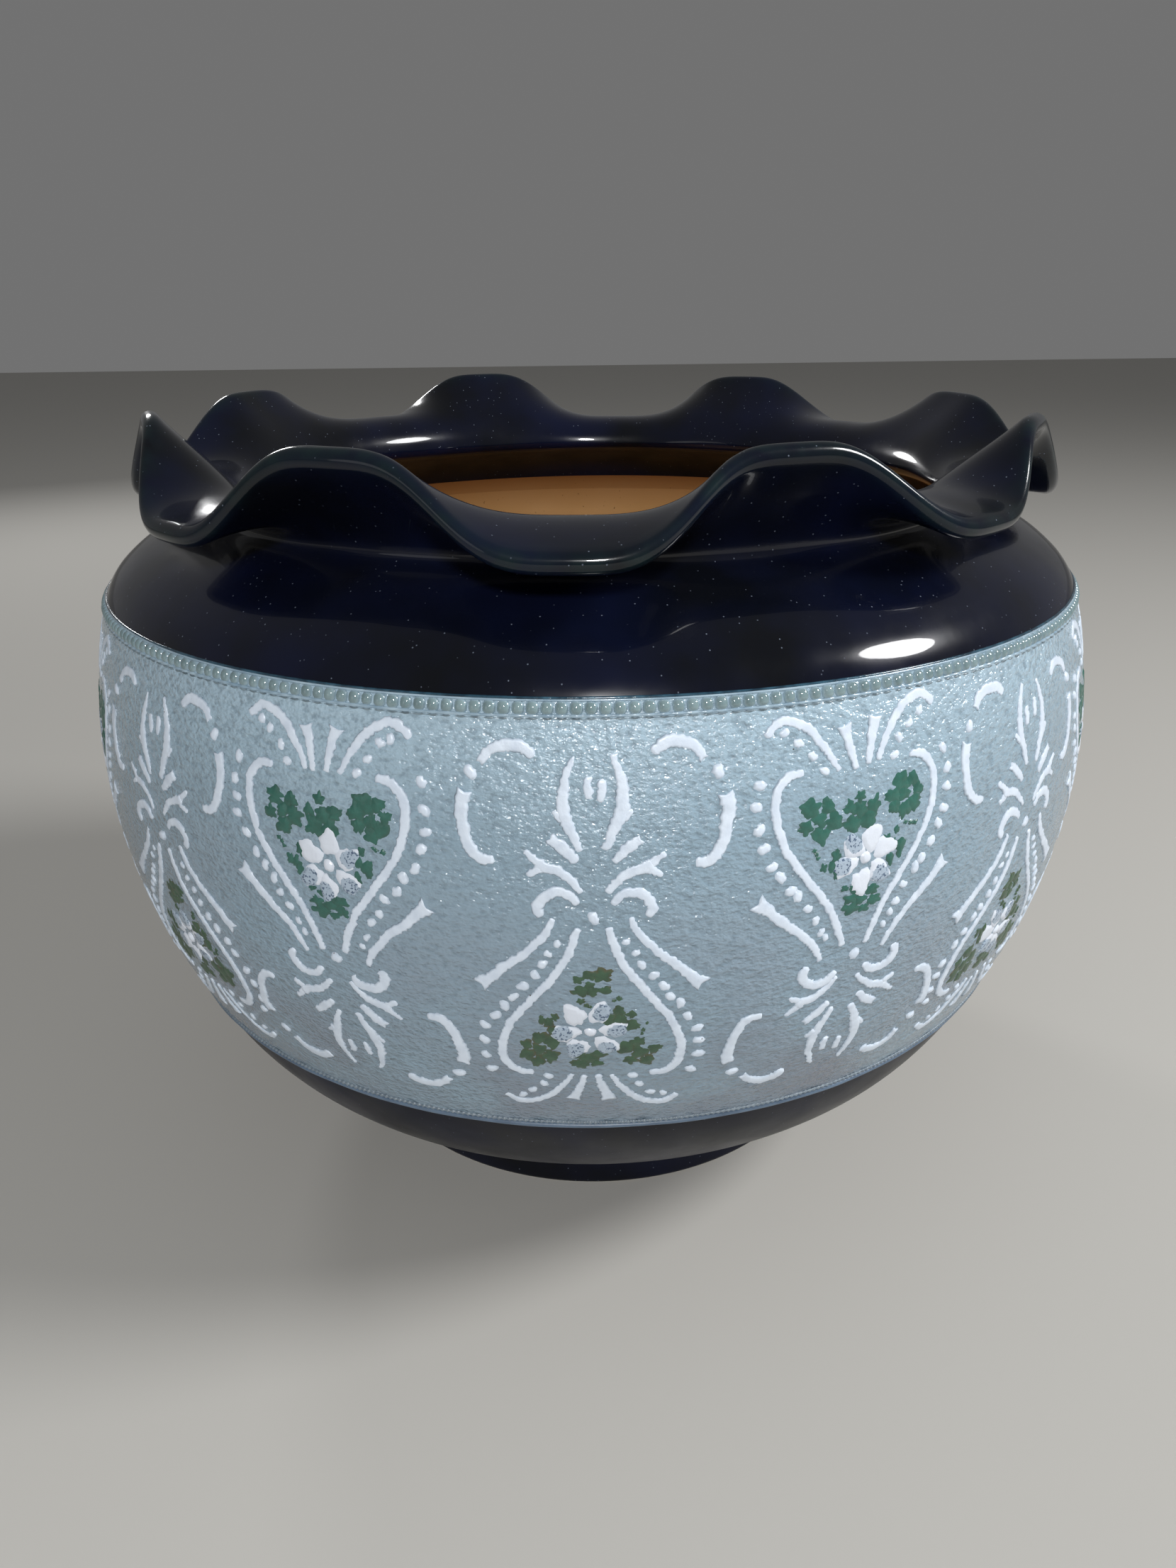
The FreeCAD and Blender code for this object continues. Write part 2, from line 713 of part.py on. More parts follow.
def dots(name):
    """The motif's drops of slip, in pairs except where they lie on the middle line."""
    drops = []
    for across_share, along_share, size_share in DOT_SHARES[name]:
        drop = dome(size("dot_radius").value * size_share, size("dot_height").value * size_share)
        for side in (1, -1) if across_share else (1,):
            drops.append(laid_drop(drop, side * across_share, along_share))
    return drops


def leaves(rows):
    """Thin lobed leaves of enamel inside the heart."""
    sprays = []
    for across_share, along_share, half_across, half_along, lobes in rows:
        place = (across_share * half_pitch, along_share * motif_reach)
        half_sizes = (half_across * half_pitch, half_along * motif_reach)
        tangent = Tangent([place])
        steps = LEAF_POINTS_PER_LOBE * lobes
        corners = oval_points(tangent, place, half_sizes, steps, lobes, LEAF_LOBE_SHARE)
        outline = Part.makePolygon(corners + corners[:1])
        sprays.append(tangent.solid(outline, size("leaf_height").value))
    return sprays


def flower_petals(shares):
    """Oval petals evenly round the flower's eye."""
    middle = (shares[0] * half_pitch, shares[1] * motif_reach)
    half_sizes = (size("petal_width").value / 2, size("petal_length").value / 2)
    place = (middle[0], middle[1] + size("petal_ring_radius").value)
    tangent = Tangent([place])
    curve = Part.BSplineCurve()
    curve.interpolate(
        Points=oval_points(tangent, place, half_sizes, PETAL_OUTLINE_POINTS), PeriodicFlag=True
    )
    outline = Part.Wire([curve.toShape()])
    petal = tangent.solid(outline, size("petal_height").value)
    axis = direction(*middle)
    turns = [360 * number / PETAL_COUNT for number in range(PETAL_COUNT)]
    return [copy_at(petal, turned_about_ball(axis, turned)) for turned in turns]


def flower_eye(shares):
    """The drop of slip at the middle of the flower."""
    drop = dome(size("dot_radius").value * FLOWER_EYE_SHARE, size("petal_height").value)
    return [laid_drop(drop, *shares)]


# The pieces of an upright and of an inverted motif
motif_pieces = {}
for name in STROKE_SHARES:
    motif_pieces[name] = [strokes(name)] * 2
for name in DOT_SHARES:
    motif_pieces[name] = [dots(name)] * 2
motif_pieces["leaf_sprays"] = [leaves(UPRIGHT_LEAF_SHARES), leaves(INVERTED_LEAF_SHARES)]
flower_places = (UPRIGHT_FLOWER_SHARES, INVERTED_FLOWER_SHARES)
motif_pieces["flower_petals"] = [flower_petals(shares) for shares in flower_places]
motif_pieces["flower_eyes"] = [flower_eye(shares) for shares in flower_places]

placements = motif_placements()
ornament = []
for name, kinds in motif_pieces.items():
    copies = [
        copy_at(piece, placement)
        for number, placement in enumerate(placements)
        for piece in kinds[number % len(kinds)]
    ]
    ornament.append(add_feature(name, Part.makeCompound(copies)))

# Every sub-part is tested before any is written
doc.recompute()
subparts = [foot, bowl, belt, shoulder, rim, beads] + rings + ornament
for thing in doc.Objects:
    if "Invalid" in thing.State or "Error" in thing.State:
        raise RuntimeError(f"{thing.Label} failed: {thing.State}")
for subpart in subparts:
    if subpart.Shape.isNull() or not subpart.Shape.isValid():
        raise RuntimeError(f"{subpart.Label} has no valid shape")

os.makedirs("parts", exist_ok=True)
for subpart in subparts:
    subpart.Shape.exportStep(f"parts/{subpart.Label}.step")
    print(subpart.Label, len(subpart.Shape.Solids))
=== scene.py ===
"""A frilled stoneware jardiniere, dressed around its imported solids.

The pot's walls are rebuilt as fine turned and frilled surfaces, and its slip ornament as
hand-trailed lines, drops, leaves and petals. Lengths are millimetres until a mesh is made.
"""

import math

import bmesh
import bpy
import numpy as np
from mathutils import Matrix, Vector


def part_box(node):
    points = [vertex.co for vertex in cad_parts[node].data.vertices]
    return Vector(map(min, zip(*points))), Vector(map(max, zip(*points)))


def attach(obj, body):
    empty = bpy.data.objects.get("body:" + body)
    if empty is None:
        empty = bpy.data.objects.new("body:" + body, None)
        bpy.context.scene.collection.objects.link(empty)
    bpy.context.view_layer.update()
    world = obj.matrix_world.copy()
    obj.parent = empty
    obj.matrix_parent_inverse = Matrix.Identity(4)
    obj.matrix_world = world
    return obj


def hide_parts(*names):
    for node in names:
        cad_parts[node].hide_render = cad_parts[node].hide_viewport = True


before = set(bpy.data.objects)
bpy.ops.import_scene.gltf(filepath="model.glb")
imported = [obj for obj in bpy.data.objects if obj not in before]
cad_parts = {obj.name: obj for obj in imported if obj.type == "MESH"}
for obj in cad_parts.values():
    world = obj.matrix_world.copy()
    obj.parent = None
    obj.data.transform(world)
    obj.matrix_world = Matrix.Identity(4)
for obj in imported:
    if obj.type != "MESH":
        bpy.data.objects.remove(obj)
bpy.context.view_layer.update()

MM = 0.001
MERGE_DISTANCE = 0.002
CREASE_DEGREES = 50
# The one seeded source of everything that a hand does unevenly
hand = np.random.default_rng(7)


def reach_of(node):
    """Largest radius of a turned node, in millimetres."""
    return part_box(node)[1].x / MM


def heights_of(node):
    """Lowest and highest height of a node, in millimetres."""
    low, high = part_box(node)
    return low.z / MM, high.z / MM


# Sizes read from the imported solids
FOOT_TOP = heights_of("foot_base")[1]
BELT_BOTTOM, BELT_TOP = heights_of("belt_wall")
NECK_HEIGHT = heights_of("shoulder")[1]
BELT_RADIUS = reach_of("belt_wall")
BELT_TOP_RADIUS = reach_of("shoulder")
FOOT_TOP_RADIUS = reach_of("foot_base")
BELT_CENTRE = BELT_TOP - math.sqrt(BELT_RADIUS**2 - BELT_TOP_RADIUS**2)
BELT_LOW_RADIUS = math.sqrt(BELT_RADIUS**2 - (BELT_CENTRE - BELT_BOTTOM) ** 2)

# Sizes of the pot that the imported solids don't tell
WALL = 6.5
FOOT_BOTTOM_RADIUS = 69.0
FOOT_RING_WIDTH = 9.0
FOOT_RECESS_DEPTH = 8.0
FOOT_EDGE_ROUND = 1.5
FOOT_LEAN = 0.1
FOOT_TOP_DROP = 1.0
FLOOR_CORNER = 2.0
FLOOR_RADIUS = 54.0
BOWL_CURVE_RADIUS = 66.0
BOWL_LINING_RADIUS = 79.5
KNEE_INSET = 4.7
KNEE_RISE = 6.1
SHOULDER_CORNER_RADIUS = 17.0
SHOULDER_CURVE_RADIUS = 43.0
SHOULDER_INNER_RADIUS = 34.0
NECK_RADIUS = 93.5
NECK_WALL = 6.0
INSIDE_TAN_TOP = 157.5
INSIDE_TAN_DARKENS = 13.0
LIP_THICKNESS = 4.4
CREST_REACH = 15.0
CREST_RISE = 20.8
DIP_REACH = 24.0
DIP_RISE = 5.0
# How far under its top the belt's painted highlight begins, and where it is full
HIGHLIGHT_BAND_BEGINS = 26.0
HIGHLIGHT_BAND_FULL = 4.0


# Meshes

def quads(rows, columns, rows_close, columns_close):
    """Corner numbers of the faces of a grid whose points are numbered row by row."""
    row = np.arange(rows if rows_close else rows - 1)[:, None]
    column = np.arange(columns if columns_close else columns - 1)[None, :]
    next_row = (row + 1) % rows
    next_column = (column + 1) % columns
    corners = [
        row * columns + column,
        row * columns + next_column,
        next_row * columns + next_column,
        next_row * columns + column,
    ]
    return np.stack(np.broadcast_arrays(*corners), axis=-1).reshape(-1, 4)


def tiled(faces, copies, points_each):
    """The same faces for every copy of a grid, numbered on."""
    offsets = np.arange(copies)[:, None, None] * points_each
    return (faces[None] + offsets).reshape(-1, 4)


def make_piece(
    name, points, faces, materials, nodes=(), finish_of_face=None, marks=None, creased=False
):
    """A smooth piece of the pot from points in millimetres, riding on it.

    Points that fall together are merged, so that poles and ends close. marks are named
    numbers, one for each point, that the materials read. A creased piece keeps its corners.
    """
    mesh = bpy.data.meshes.new(name)
    mesh.from_pydata((points.reshape(-1, 3) * MM).tolist(), [], faces.tolist())
    for mark, values in (marks or {}).items():
        layer = mesh.attributes.new(mark, "FLOAT", "POINT")
        layer.data.foreach_set("value", values.astype(np.float32).ravel())
    if finish_of_face is not None:
        mesh.polygons.foreach_set("material_index", finish_of_face.astype(np.int32).ravel())
    merged = bmesh.new()
    merged.from_mesh(mesh)
    bmesh.ops.remove_doubles(merged, verts=merged.verts, dist=MERGE_DISTANCE * MM)
    bmesh.ops.recalc_face_normals(merged, faces=merged.faces)
    merged.to_mesh(mesh)
    merged.free()
    mesh.shade_smooth()
    if creased:
        mesh.set_sharp_from_angle(angle=math.radians(CREASE_DEGREES))
    for material in materials:
        mesh.materials.append(material)
    piece = bpy.data.objects.new(name, mesh)
    bpy.context.scene.collection.objects.link(piece)
    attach(piece, "root")
    if nodes:
        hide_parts(*nodes)
    return piece


def arc(start, end, radius, count, side=1):
    """Points on the short arc from start to end, turning left for side 1 and right for -1."""
    start, end = np.array(start), np.array(end)
    half = np.linalg.norm(end - start) / 2
    along = (end - start) / (2 * half)
    across = np.array([-along[1], along[0]]) * side
    centre = (start + end) / 2 + across * math.sqrt(radius**2 - half**2)
    swing = math.asin(half / radius)
    turns = np.linspace(-swing, swing, count)[:, None]
    return centre - radius * across * np.cos(turns) + radius * along * np.sin(turns)


def line(start, end, count):
    """Points at even steps on the straight line from start to end."""
    return np.linspace(start, end, count)


def soften(points, corner, reach, passes):
    """Round a corner of a line of points, within reach points on both sides of it.

    At each pass every point becomes a quarter of each neighbour and half of itself.
    """
    softened = points.copy()
    near = slice(corner - reach, corner + reach)
    for _ in range(passes):
        middle = (softened[:-2] + 2 * softened[1:-1] + softened[2:]) / 4
        softened[near] = middle[corner - reach - 1 : corner + reach - 1]
    return softened


def swept(profile, columns):
    """Points of a profile (radius, height) turned round the axis, one row per profile point."""
    angles = np.arange(columns) * 2 * math.pi / columns
    radius, height = profile[:, :1], profile[:, 1:]
    x = radius * np.sin(angles)
    y = -radius * np.cos(angles)
    return np.stack([x, y, np.broadcast_to(height, x.shape)], axis=-1)


def ripple(angles, heights, waves, height_wave, swell):
    """Gentle unevenness: a sum of sines round and up the pot, each with its own phase.

    waves holds how many times each goes round, height_wave is the height in which the
    steepest leans once round, and swell is the size of one, shared out by their number's root.
    """
    total = np.zeros(np.broadcast(angles, heights).shape)
    for number in waves:
        phase, lean = hand.uniform(0, 2 * math.pi), hand.uniform(-1, 1)
        total = total + np.sin(number * angles + lean * heights * 2 * math.pi / height_wave + phase)
    return total * swell / math.sqrt(len(waves))


# Materials

def colour(code):
    """A colour written as an sRGB hex code, as the linear values that a shader takes."""
    values = [int(code[i : i + 2], 16) / 255 for i in (1, 3, 5)]
    return [v / 12.92 if v <= 0.04045 else ((v + 0.055) / 1.055) ** 2.4 for v in values] + [1.0]


def per(size):
    """Scale of a texture whose features repeat about every so many millimetres."""
    return 1 / (size * MM)


def feed(node, inputs):
    """Give a node's sockets their numbers or hex colours, or the outputs that drive them."""
    sockets = {socket.identifier: socket for socket in node.inputs}
    for name, value in inputs.items():
        if isinstance(value, bpy.types.NodeSocket):
            node.id_data.links.new(value, sockets[name])
        else:
            sockets[name].default_value = colour(value) if isinstance(value, str) else value


def add_node(material, kind, inputs, output=None, **settings):
    """Add a shader node with its settings and links; returns its first or its named output."""
    node = material.node_tree.nodes.new("ShaderNode" + kind)
    for setting, value in settings.items():
        setattr(node, setting, value)
    feed(node, inputs)
    return [socket for socket in node.outputs if socket.enabled and output in (None, socket.name)][0]


def new_material(name):
    """A material that holds nothing but its shader, and that shader."""
    material = bpy.data.materials.new(name)
    material.use_nodes = True
    return material, material.node_tree.nodes["Principled BSDF"]


# How much rougher the cobalt glaze is where it is hazed
HAZE_ROUGHENS = 0.14


def make_cobalt_glaze(name, roughness, coat_weight):
    # Stoneware dipped in cobalt glaze and fired glossy: near black, with blue in its depth,
    # and thinner and greener where it ran off the lip. Its clear skin gives sharp highlights
    # and the glaze under it, hazed in patches by handling, a soft one round them. Dust lies
    # on it in specks a quarter of a millimetre wide, coarser than real dust so that they show
    glaze, shader = new_material(name)
    place = add_node(glaze, "TexCoord", {}, "Object")
    cloud = add_node(glaze, "TexNoise", {"Vector": place, "Scale": per(28), "Detail": 3.0})
    cloud = add_node(glaze, "MapRange", {"Value": cloud, "From Min": 0.35, "From Max": 0.7})
    body = add_node(
        glaze, "Mix", {"Factor_Float": cloud, "A_Color": "#07090f", "B_Color": "#0b1026"}, data_type="RGBA"
    )
    lip = add_node(glaze, "Attribute", {}, "Fac", attribute_name="lip")
    runs = add_node(glaze, "TexNoise", {"Vector": place, "Scale": per(6), "Detail": 3.0})
    runs = add_node(glaze, "MapRange", {"Value": runs, "From Min": 0.3, "From Max": 0.75})
    thin = add_node(glaze, "Math", {"Value": lip, "Value_001": runs}, operation="MULTIPLY")
    body = add_node(
        glaze, "Mix", {"Factor_Float": thin, "A_Color": body, "B_Color": "#112022"}, data_type="RGBA"
    )
    cells = {"Vector": place, "Scale": per(1.4)}
    near = add_node(glaze, "TexVoronoi", cells, "Distance")
    near = add_node(glaze, "MapRange", {"Value": near, "From Min": 0.13, "From Max": 0.06})
    chosen = add_node(glaze, "TexVoronoi", cells, "Color")
    chosen = add_node(glaze, "MapRange", {"Value": chosen, "From Min": 0.55, "From Max": 0.75})
    dust = add_node(glaze, "Math", {"Value": near, "Value_001": chosen}, operation="MULTIPLY")
    body = add_node(
        glaze, "Mix", {"Factor_Float": dust, "A_Color": body, "B_Color": "#656d7b"}, data_type="RGBA"
    )
    haze = add_node(glaze, "TexNoise", {"Vector": place, "Scale": per(12), "Detail": 4.0})
    hazed = roughness + HAZE_ROUGHENS
    haze = add_node(
        glaze, "MapRange",
        {"Value": haze, "From Min": 0.35, "From Max": 0.75, "To Min": roughness, "To Max": hazed},
    )
    wave = add_node(glaze, "TexNoise", {"Vector": place, "Scale": per(9), "Detail": 2.0})
    wave = add_node(glaze, "Bump", {"Height": wave, "Distance": 0.03 * MM})
    feed(shader, {
        "Base Color": body, "Roughness": haze, "IOR": 1.52, "Specular IOR Level": 0.12, "Normal": wave,
        "Coat Weight": coat_weight, "Coat IOR": 1.47, "Coat Roughness": 0.035, "Coat Normal": wave,
    })
    return glaze


def make_tan_glaze():
    # The inside is lined with a plain transparent glaze over buff clay, poured and left pooled,
    # and darker and browner over its top, up to the dark glaze
    glaze, shader = new_material("tan_lining_glaze")
    place = add_node(glaze, "TexCoord", {}, "Object")
    flat = add_node(glaze, "Mapping", {"Vector": place, "Scale": (1, 1, 1.6)})
    pool = add_node(glaze, "TexNoise", {"Vector": flat, "Scale": per(35), "Detail": 3.0})
    pool = add_node(glaze, "MapRange", {"Value": pool, "From Min": 0.3, "From Max": 0.75})
    body = add_node(
        glaze, "Mix", {"Factor_Float": pool, "A_Color": "#b98f5a", "B_Color": "#c69d6d"}, data_type="RGBA"
    )
    height = add_node(glaze, "SeparateXYZ", {"Vector": place}, "Z")
    full = (INSIDE_TAN_TOP - INSIDE_TAN_DARKENS) * MM
    thin = add_node(
        glaze, "MapRange", {"Value": height, "From Min": full, "From Max": INSIDE_TAN_TOP * MM}
    )
    body = add_node(
        glaze, "Mix", {"Factor_Float": thin, "A_Color": body, "B_Color": "#855931"}, data_type="RGBA"
    )
    speck = add_node(glaze, "TexNoise", {"Vector": place, "Scale": per(1.3), "Detail": 2.0})
    speck = add_node(glaze, "MapRange", {"Value": speck, "From Min": 0.7, "From Max": 0.78})
    body = add_node(
        glaze, "Mix", {"Factor_Float": speck, "A_Color": body, "B_Color": "#6e5029"}, data_type="RGBA"
    )
    wave = add_node(glaze, "TexNoise", {"Vector": place, "Scale": per(4), "Detail": 2.0})
    wave = add_node(glaze, "Bump", {"Height": wave, "Distance": 0.05 * MM})
    feed(shader, {"Base Color": body, "Roughness": 0.34, "IOR": 1.5, "Normal": wave})
    return glaze


def make_bare_stoneware():
    # The standing ring and recess were wiped clean of glaze and show the fired clay
    clay, shader = new_material("bare_fired_stoneware")
    place = add_node(clay, "TexCoord", {}, "Object")
    worn = add_node(clay, "TexNoise", {"Vector": place, "Scale": per(14), "Detail": 3.0})
    worn = add_node(clay, "MapRange", {"Value": worn, "From Min": 0.4, "From Max": 0.7})
    body = add_node(
        clay, "Mix", {"Factor_Float": worn, "A_Color": "#a79a84", "B_Color": "#8f7f68"}, data_type="RGBA"
    )
    iron = add_node(clay, "TexNoise", {"Vector": place, "Scale": per(1.2), "Detail": 3.0})
    iron = add_node(clay, "MapRange", {"Value": iron, "From Min": 0.6, "From Max": 0.75})
    body = add_node(
        clay, "Mix", {"Factor_Float": iron, "A_Color": body, "B_Color": "#5d4d3c"}, data_type="RGBA"
    )
    grit = add_node(clay, "TexNoise", {"Vector": place, "Scale": per(0.8), "Detail": 3.0})
    grit = add_node(clay, "Bump", {"Height": grit, "Distance": 0.12 * MM})
    feed(shader, {"Base Color": body, "Roughness": 0.85, "IOR": 1.5, "Normal": grit})
    return clay


def make_linen_ground():
    # Wet clay pressed with open-weave cloth, then salt glazed: a glossy pale grey-blue skin,
    # whose threads, 1.5 millimetres apart with finer ones of 0.8 between, catch the light and
    # hold darker glaze in their hollows, with small iron specks. Its colour is darker towards
    # the bottom, partly a greyer tone and partly painted shade, and lighter towards the top as
    # painted light, with a painted highlight in a band just under the bead row
    ground, shader = new_material("salt_glazed_linen_ground")
    place = add_node(ground, "TexCoord", {}, "Object")
    height = add_node(ground, "SeparateXYZ", {"Vector": place}, "Z")
    # Painted shade and light: darker and greyer low on the belt, partly its own greyer tone, and lighter
    # towards its top
    tone_and_painted_light_up_the_belt = add_node(
        ground, "MapRange", {"Value": height, "From Min": BELT_BOTTOM * MM, "From Max": BELT_TOP * MM}
    )
    wash = add_node(
        ground, "Mix", {"Factor_Float": tone_and_painted_light_up_the_belt, "A_Color": "#6f7684", "B_Color": "#96b0bf"},
        data_type="RGBA",
    )
    low, high = (BELT_TOP - HIGHLIGHT_BAND_BEGINS) * MM, (BELT_TOP - HIGHLIGHT_BAND_FULL) * MM
    # Painted highlight: a paler band just under the bead row
    painted_highlight_band = add_node(ground, "MapRange", {"Value": height, "From Min": low, "From Max": high, "To Max": 0.6})
    cloud = add_node(ground, "TexNoise", {"Vector": place, "Scale": per(24), "Detail": 4.0})
    cloud = add_node(ground, "MapRange", {"Value": cloud, "From Min": 0.3, "From Max": 0.72})
    wash = add_node(
        ground, "Mix", {"Factor_Float": cloud, "A_Color": wash, "B_Color": "#869eae"}, data_type="RGBA"
    )
    wash = add_node(
        ground, "Mix", {"Factor_Float": painted_highlight_band, "A_Color": wash, "B_Color": "#acc3d2"}, data_type="RGBA"
    )
    weave = add_node(ground, "Mapping", {"Vector": place, "Scale": (1, 1, 1.5)})
    thread = add_node(ground, "TexNoise", {"Vector": weave, "Scale": per(1.5), "Detail": 1.5})
    hollow = add_node(
        ground, "MapRange", {"Value": thread, "From Min": 0.5, "From Max": 0.3, "To Min": 0.0, "To Max": 0.55}
    )
    wash = add_node(
        ground, "Mix", {"Factor_Float": hollow, "A_Color": wash, "B_Color": "#6c808e"}, data_type="RGBA"
    )
    cells = {"Vector": place, "Scale": per(4.5)}
    near = add_node(ground, "TexVoronoi", cells, "Distance")
    near = add_node(ground, "MapRange", {"Value": near, "From Min": 0.045, "From Max": 0.025})
    chosen = add_node(ground, "TexVoronoi", cells, "Color")
    chosen = add_node(ground, "MapRange", {"Value": chosen, "From Min": 0.6, "From Max": 0.64})
    iron = add_node(ground, "Math", {"Value": near, "Value_001": chosen}, operation="MULTIPLY")
    wash = add_node(
        ground, "Mix", {"Factor_Float": iron, "A_Color": wash, "B_Color": "#3c403e"}, data_type="RGBA"
    )
    gloss = add_node(ground, "MapRange", {"Value": cloud, "To Min": 0.2, "To Max": 0.34})
    fine = add_node(ground, "TexNoise", {"Vector": weave, "Scale": per(0.8), "Detail": 2.0})
    fine = add_node(ground, "Math", {"Value": fine, "Value_001": 0.5}, operation="MULTIPLY")
    cloth = add_node(ground, "Math", {"Value": thread, "Value_001": fine}, operation="ADD")
    cloth = add_node(ground, "Bump", {"Height": cloth, "Distance": 0.55 * MM})
    feed(shader, {
        "Base Color": wash, "Roughness": gloss, "IOR": 1.48, "Normal": cloth,
        "Coat Weight": 0.8, "Coat Roughness": 0.045, "Coat Normal": cloth,
    })
    return ground


def make_white_slip():
    # White slip trailed from a nozzle by hand: chalky white, a little lavender, thin enough
    # at its edges for the ground to grey it, and pricked here and there by iron specks
    slip, shader = new_material("trailed_white_slip")
    place = add_node(slip, "TexCoord", {}, "Object")
    patch = add_node(slip, "TexNoise", {"Vector": place, "Scale": per(3), "Detail": 3.0})
    patch = add_node(slip, "MapRange", {"Value": patch, "From Min": 0.4, "From Max": 0.72})
    body = add_node(
        slip, "Mix", {"Factor_Float": patch, "A_Color": "#d6e1ee", "B_Color": "#c8d4e3"}, data_type="RGBA"
    )
    edge = add_node(slip, "Attribute", {}, "Fac", attribute_name="edge")
    edge = add_node(slip, "MapRange", {"Value": edge, "From Min": 0.6, "From Max": 1.0})
    gap = add_node(slip, "TexNoise", {"Vector": place, "Scale": per(1.1), "Detail": 3.0})
    gap = add_node(slip, "MapRange", {"Value": gap, "From Min": 0.3, "From Max": 0.6})
    thin = add_node(slip, "Math", {"Value": edge, "Value_001": gap}, operation="MULTIPLY")
    body = add_node(
        slip, "Mix", {"Factor_Float": thin, "A_Color": body, "B_Color": "#a3b3c2"}, data_type="RGBA"
    )
    cells = {"Vector": place, "Scale": per(3.2)}
    near = add_node(slip, "TexVoronoi", cells, "Distance")
    near = add_node(slip, "MapRange", {"Value": near, "From Min": 0.06, "From Max": 0.035})
    chosen = add_node(slip, "TexVoronoi", cells, "Color")
    chosen = add_node(slip, "MapRange", {"Value": chosen, "From Min": 0.62, "From Max": 0.66})
    iron = add_node(slip, "Math", {"Value": near, "Value_001": chosen}, operation="MULTIPLY")
    body = add_node(
        slip, "Mix", {"Factor_Float": iron, "A_Color": body, "B_Color": "#5c5046"}, data_type="RGBA"
    )
    grain = add_node(slip, "TexNoise", {"Vector": place, "Scale": per(0.8), "Detail": 3.0})
    grain = add_node(slip, "Bump", {"Height": grain, "Distance": 0.06 * MM})
    feed(shader, {
        "Base Color": body, "Roughness": 0.42, "IOR": 1.5, "Normal": grain,
        "Coat Weight": 0.2, "Coat Roughness": 0.2, "Coat Normal": grain,
    })
    return slip


def make_leaf_enamel(name, main, deep, burnt):
    # Green enamel dabbed thinly inside the heart: uneven, and browned where it burnt away
    enamel, shader = new_material(name)
    place = add_node(enamel, "TexCoord", {}, "Object")
    dab = add_node(enamel, "TexNoise", {"Vector": place, "Scale": per(1.8), "Detail": 3.0})
    dab = add_node(enamel, "MapRange", {"Value": dab, "From Min": 0.35, "From Max": 0.68})
    body = add_node(enamel, "Mix", {"Factor_Float": dab, "A_Color": main, "B_Color": deep}, data_type="RGBA")
    edge = add_node(enamel, "Attribute", {}, "Fac", attribute_name="edge")
    patch = add_node(enamel, "TexNoise", {"Vector": place, "Scale": per(5), "Detail": 3.0})
    patch = add_node(enamel, "MapRange", {"Value": patch, "From Min": 0.42, "From Max": 0.6})
    edge = add_node(enamel, "MapRange", {"Value": edge, "From Min": 0.55, "From Max": 1.0})
    edge = add_node(enamel, "Math", {"Value": edge, "Value_001": patch}, operation="MULTIPLY")
    body = add_node(
        enamel, "Mix", {"Factor_Float": edge, "A_Color": body, "B_Color": burnt}, data_type="RGBA"
    )
    grain = add_node(enamel, "TexNoise", {"Vector": place, "Scale": per(1.0), "Detail": 2.0})
    grain = add_node(enamel, "Bump", {"Height": grain, "Distance": 0.1 * MM})
    feed(shader, {
        "Base Color": body, "Roughness": 0.4, "IOR": 1.5, "Normal": grain,
        "Coat Weight": 0.3, "Coat Roughness": 0.2, "Coat Normal": grain,
    })
    return enamel


def make_petal_enamel():
    # White petals, washed and stippled with blue grey inside, with a fine grey outline
    enamel, shader = new_material("stippled_petal_enamel")
    place = add_node(enamel, "TexCoord", {}, "Object")
    ragged = add_node(enamel, "TexNoise", {"Vector": place, "Scale": per(1.2), "Detail": 3.0})
    ragged = add_node(enamel, "Math", {"Value": ragged, "Value_001": 0.8}, operation="MULTIPLY")
    stain = add_node(enamel, "Attribute", {}, "Fac", attribute_name="stain")
    stain = add_node(enamel, "Math", {"Value": stain, "Value_001": ragged}, operation="ADD")
    stain = add_node(enamel, "MapRange", {"Value": stain, "From Min": 0.72, "From Max": 0.84})
    body = add_node(
        enamel, "Mix", {"Factor_Float": stain, "A_Color": "#d8dfea", "B_Color": "#a4b4c4"}, data_type="RGBA"
    )
    dots = add_node(enamel, "TexNoise", {"Vector": place, "Scale": per(0.5), "Detail": 1.0})
    dots = add_node(enamel, "MapRange", {"Value": dots, "From Min": 0.54, "From Max": 0.62})
    dots = add_node(enamel, "Math", {"Value": dots, "Value_001": stain}, operation="MULTIPLY")
    body = add_node(
        enamel, "Mix", {"Factor_Float": dots, "A_Color": body, "B_Color": "#4c5f78"}, data_type="RGBA"
    )
    edge = add_node(enamel, "Attribute", {}, "Fac", attribute_name="edge")
    edge = add_node(enamel, "MapRange", {"Value": edge, "From Min": 0.88, "From Max": 1.0, "To Max": 0.5})
    body = add_node(
        enamel, "Mix", {"Factor_Float": edge, "A_Color": body, "B_Color": "#8495aa"}, data_type="RGBA"
    )
    grain = add_node(enamel, "TexNoise", {"Vector": place, "Scale": per(0.9), "Detail": 2.0})
    grain = add_node(enamel, "Bump", {"Height": grain, "Distance": 0.08 * MM})
    feed(shader, {
        "Base Color": body, "Roughness": 0.38, "IOR": 1.5, "Normal": grain,
        "Coat Weight": 0.3, "Coat Roughness": 0.18, "Coat Normal": grain,
    })
    return enamel


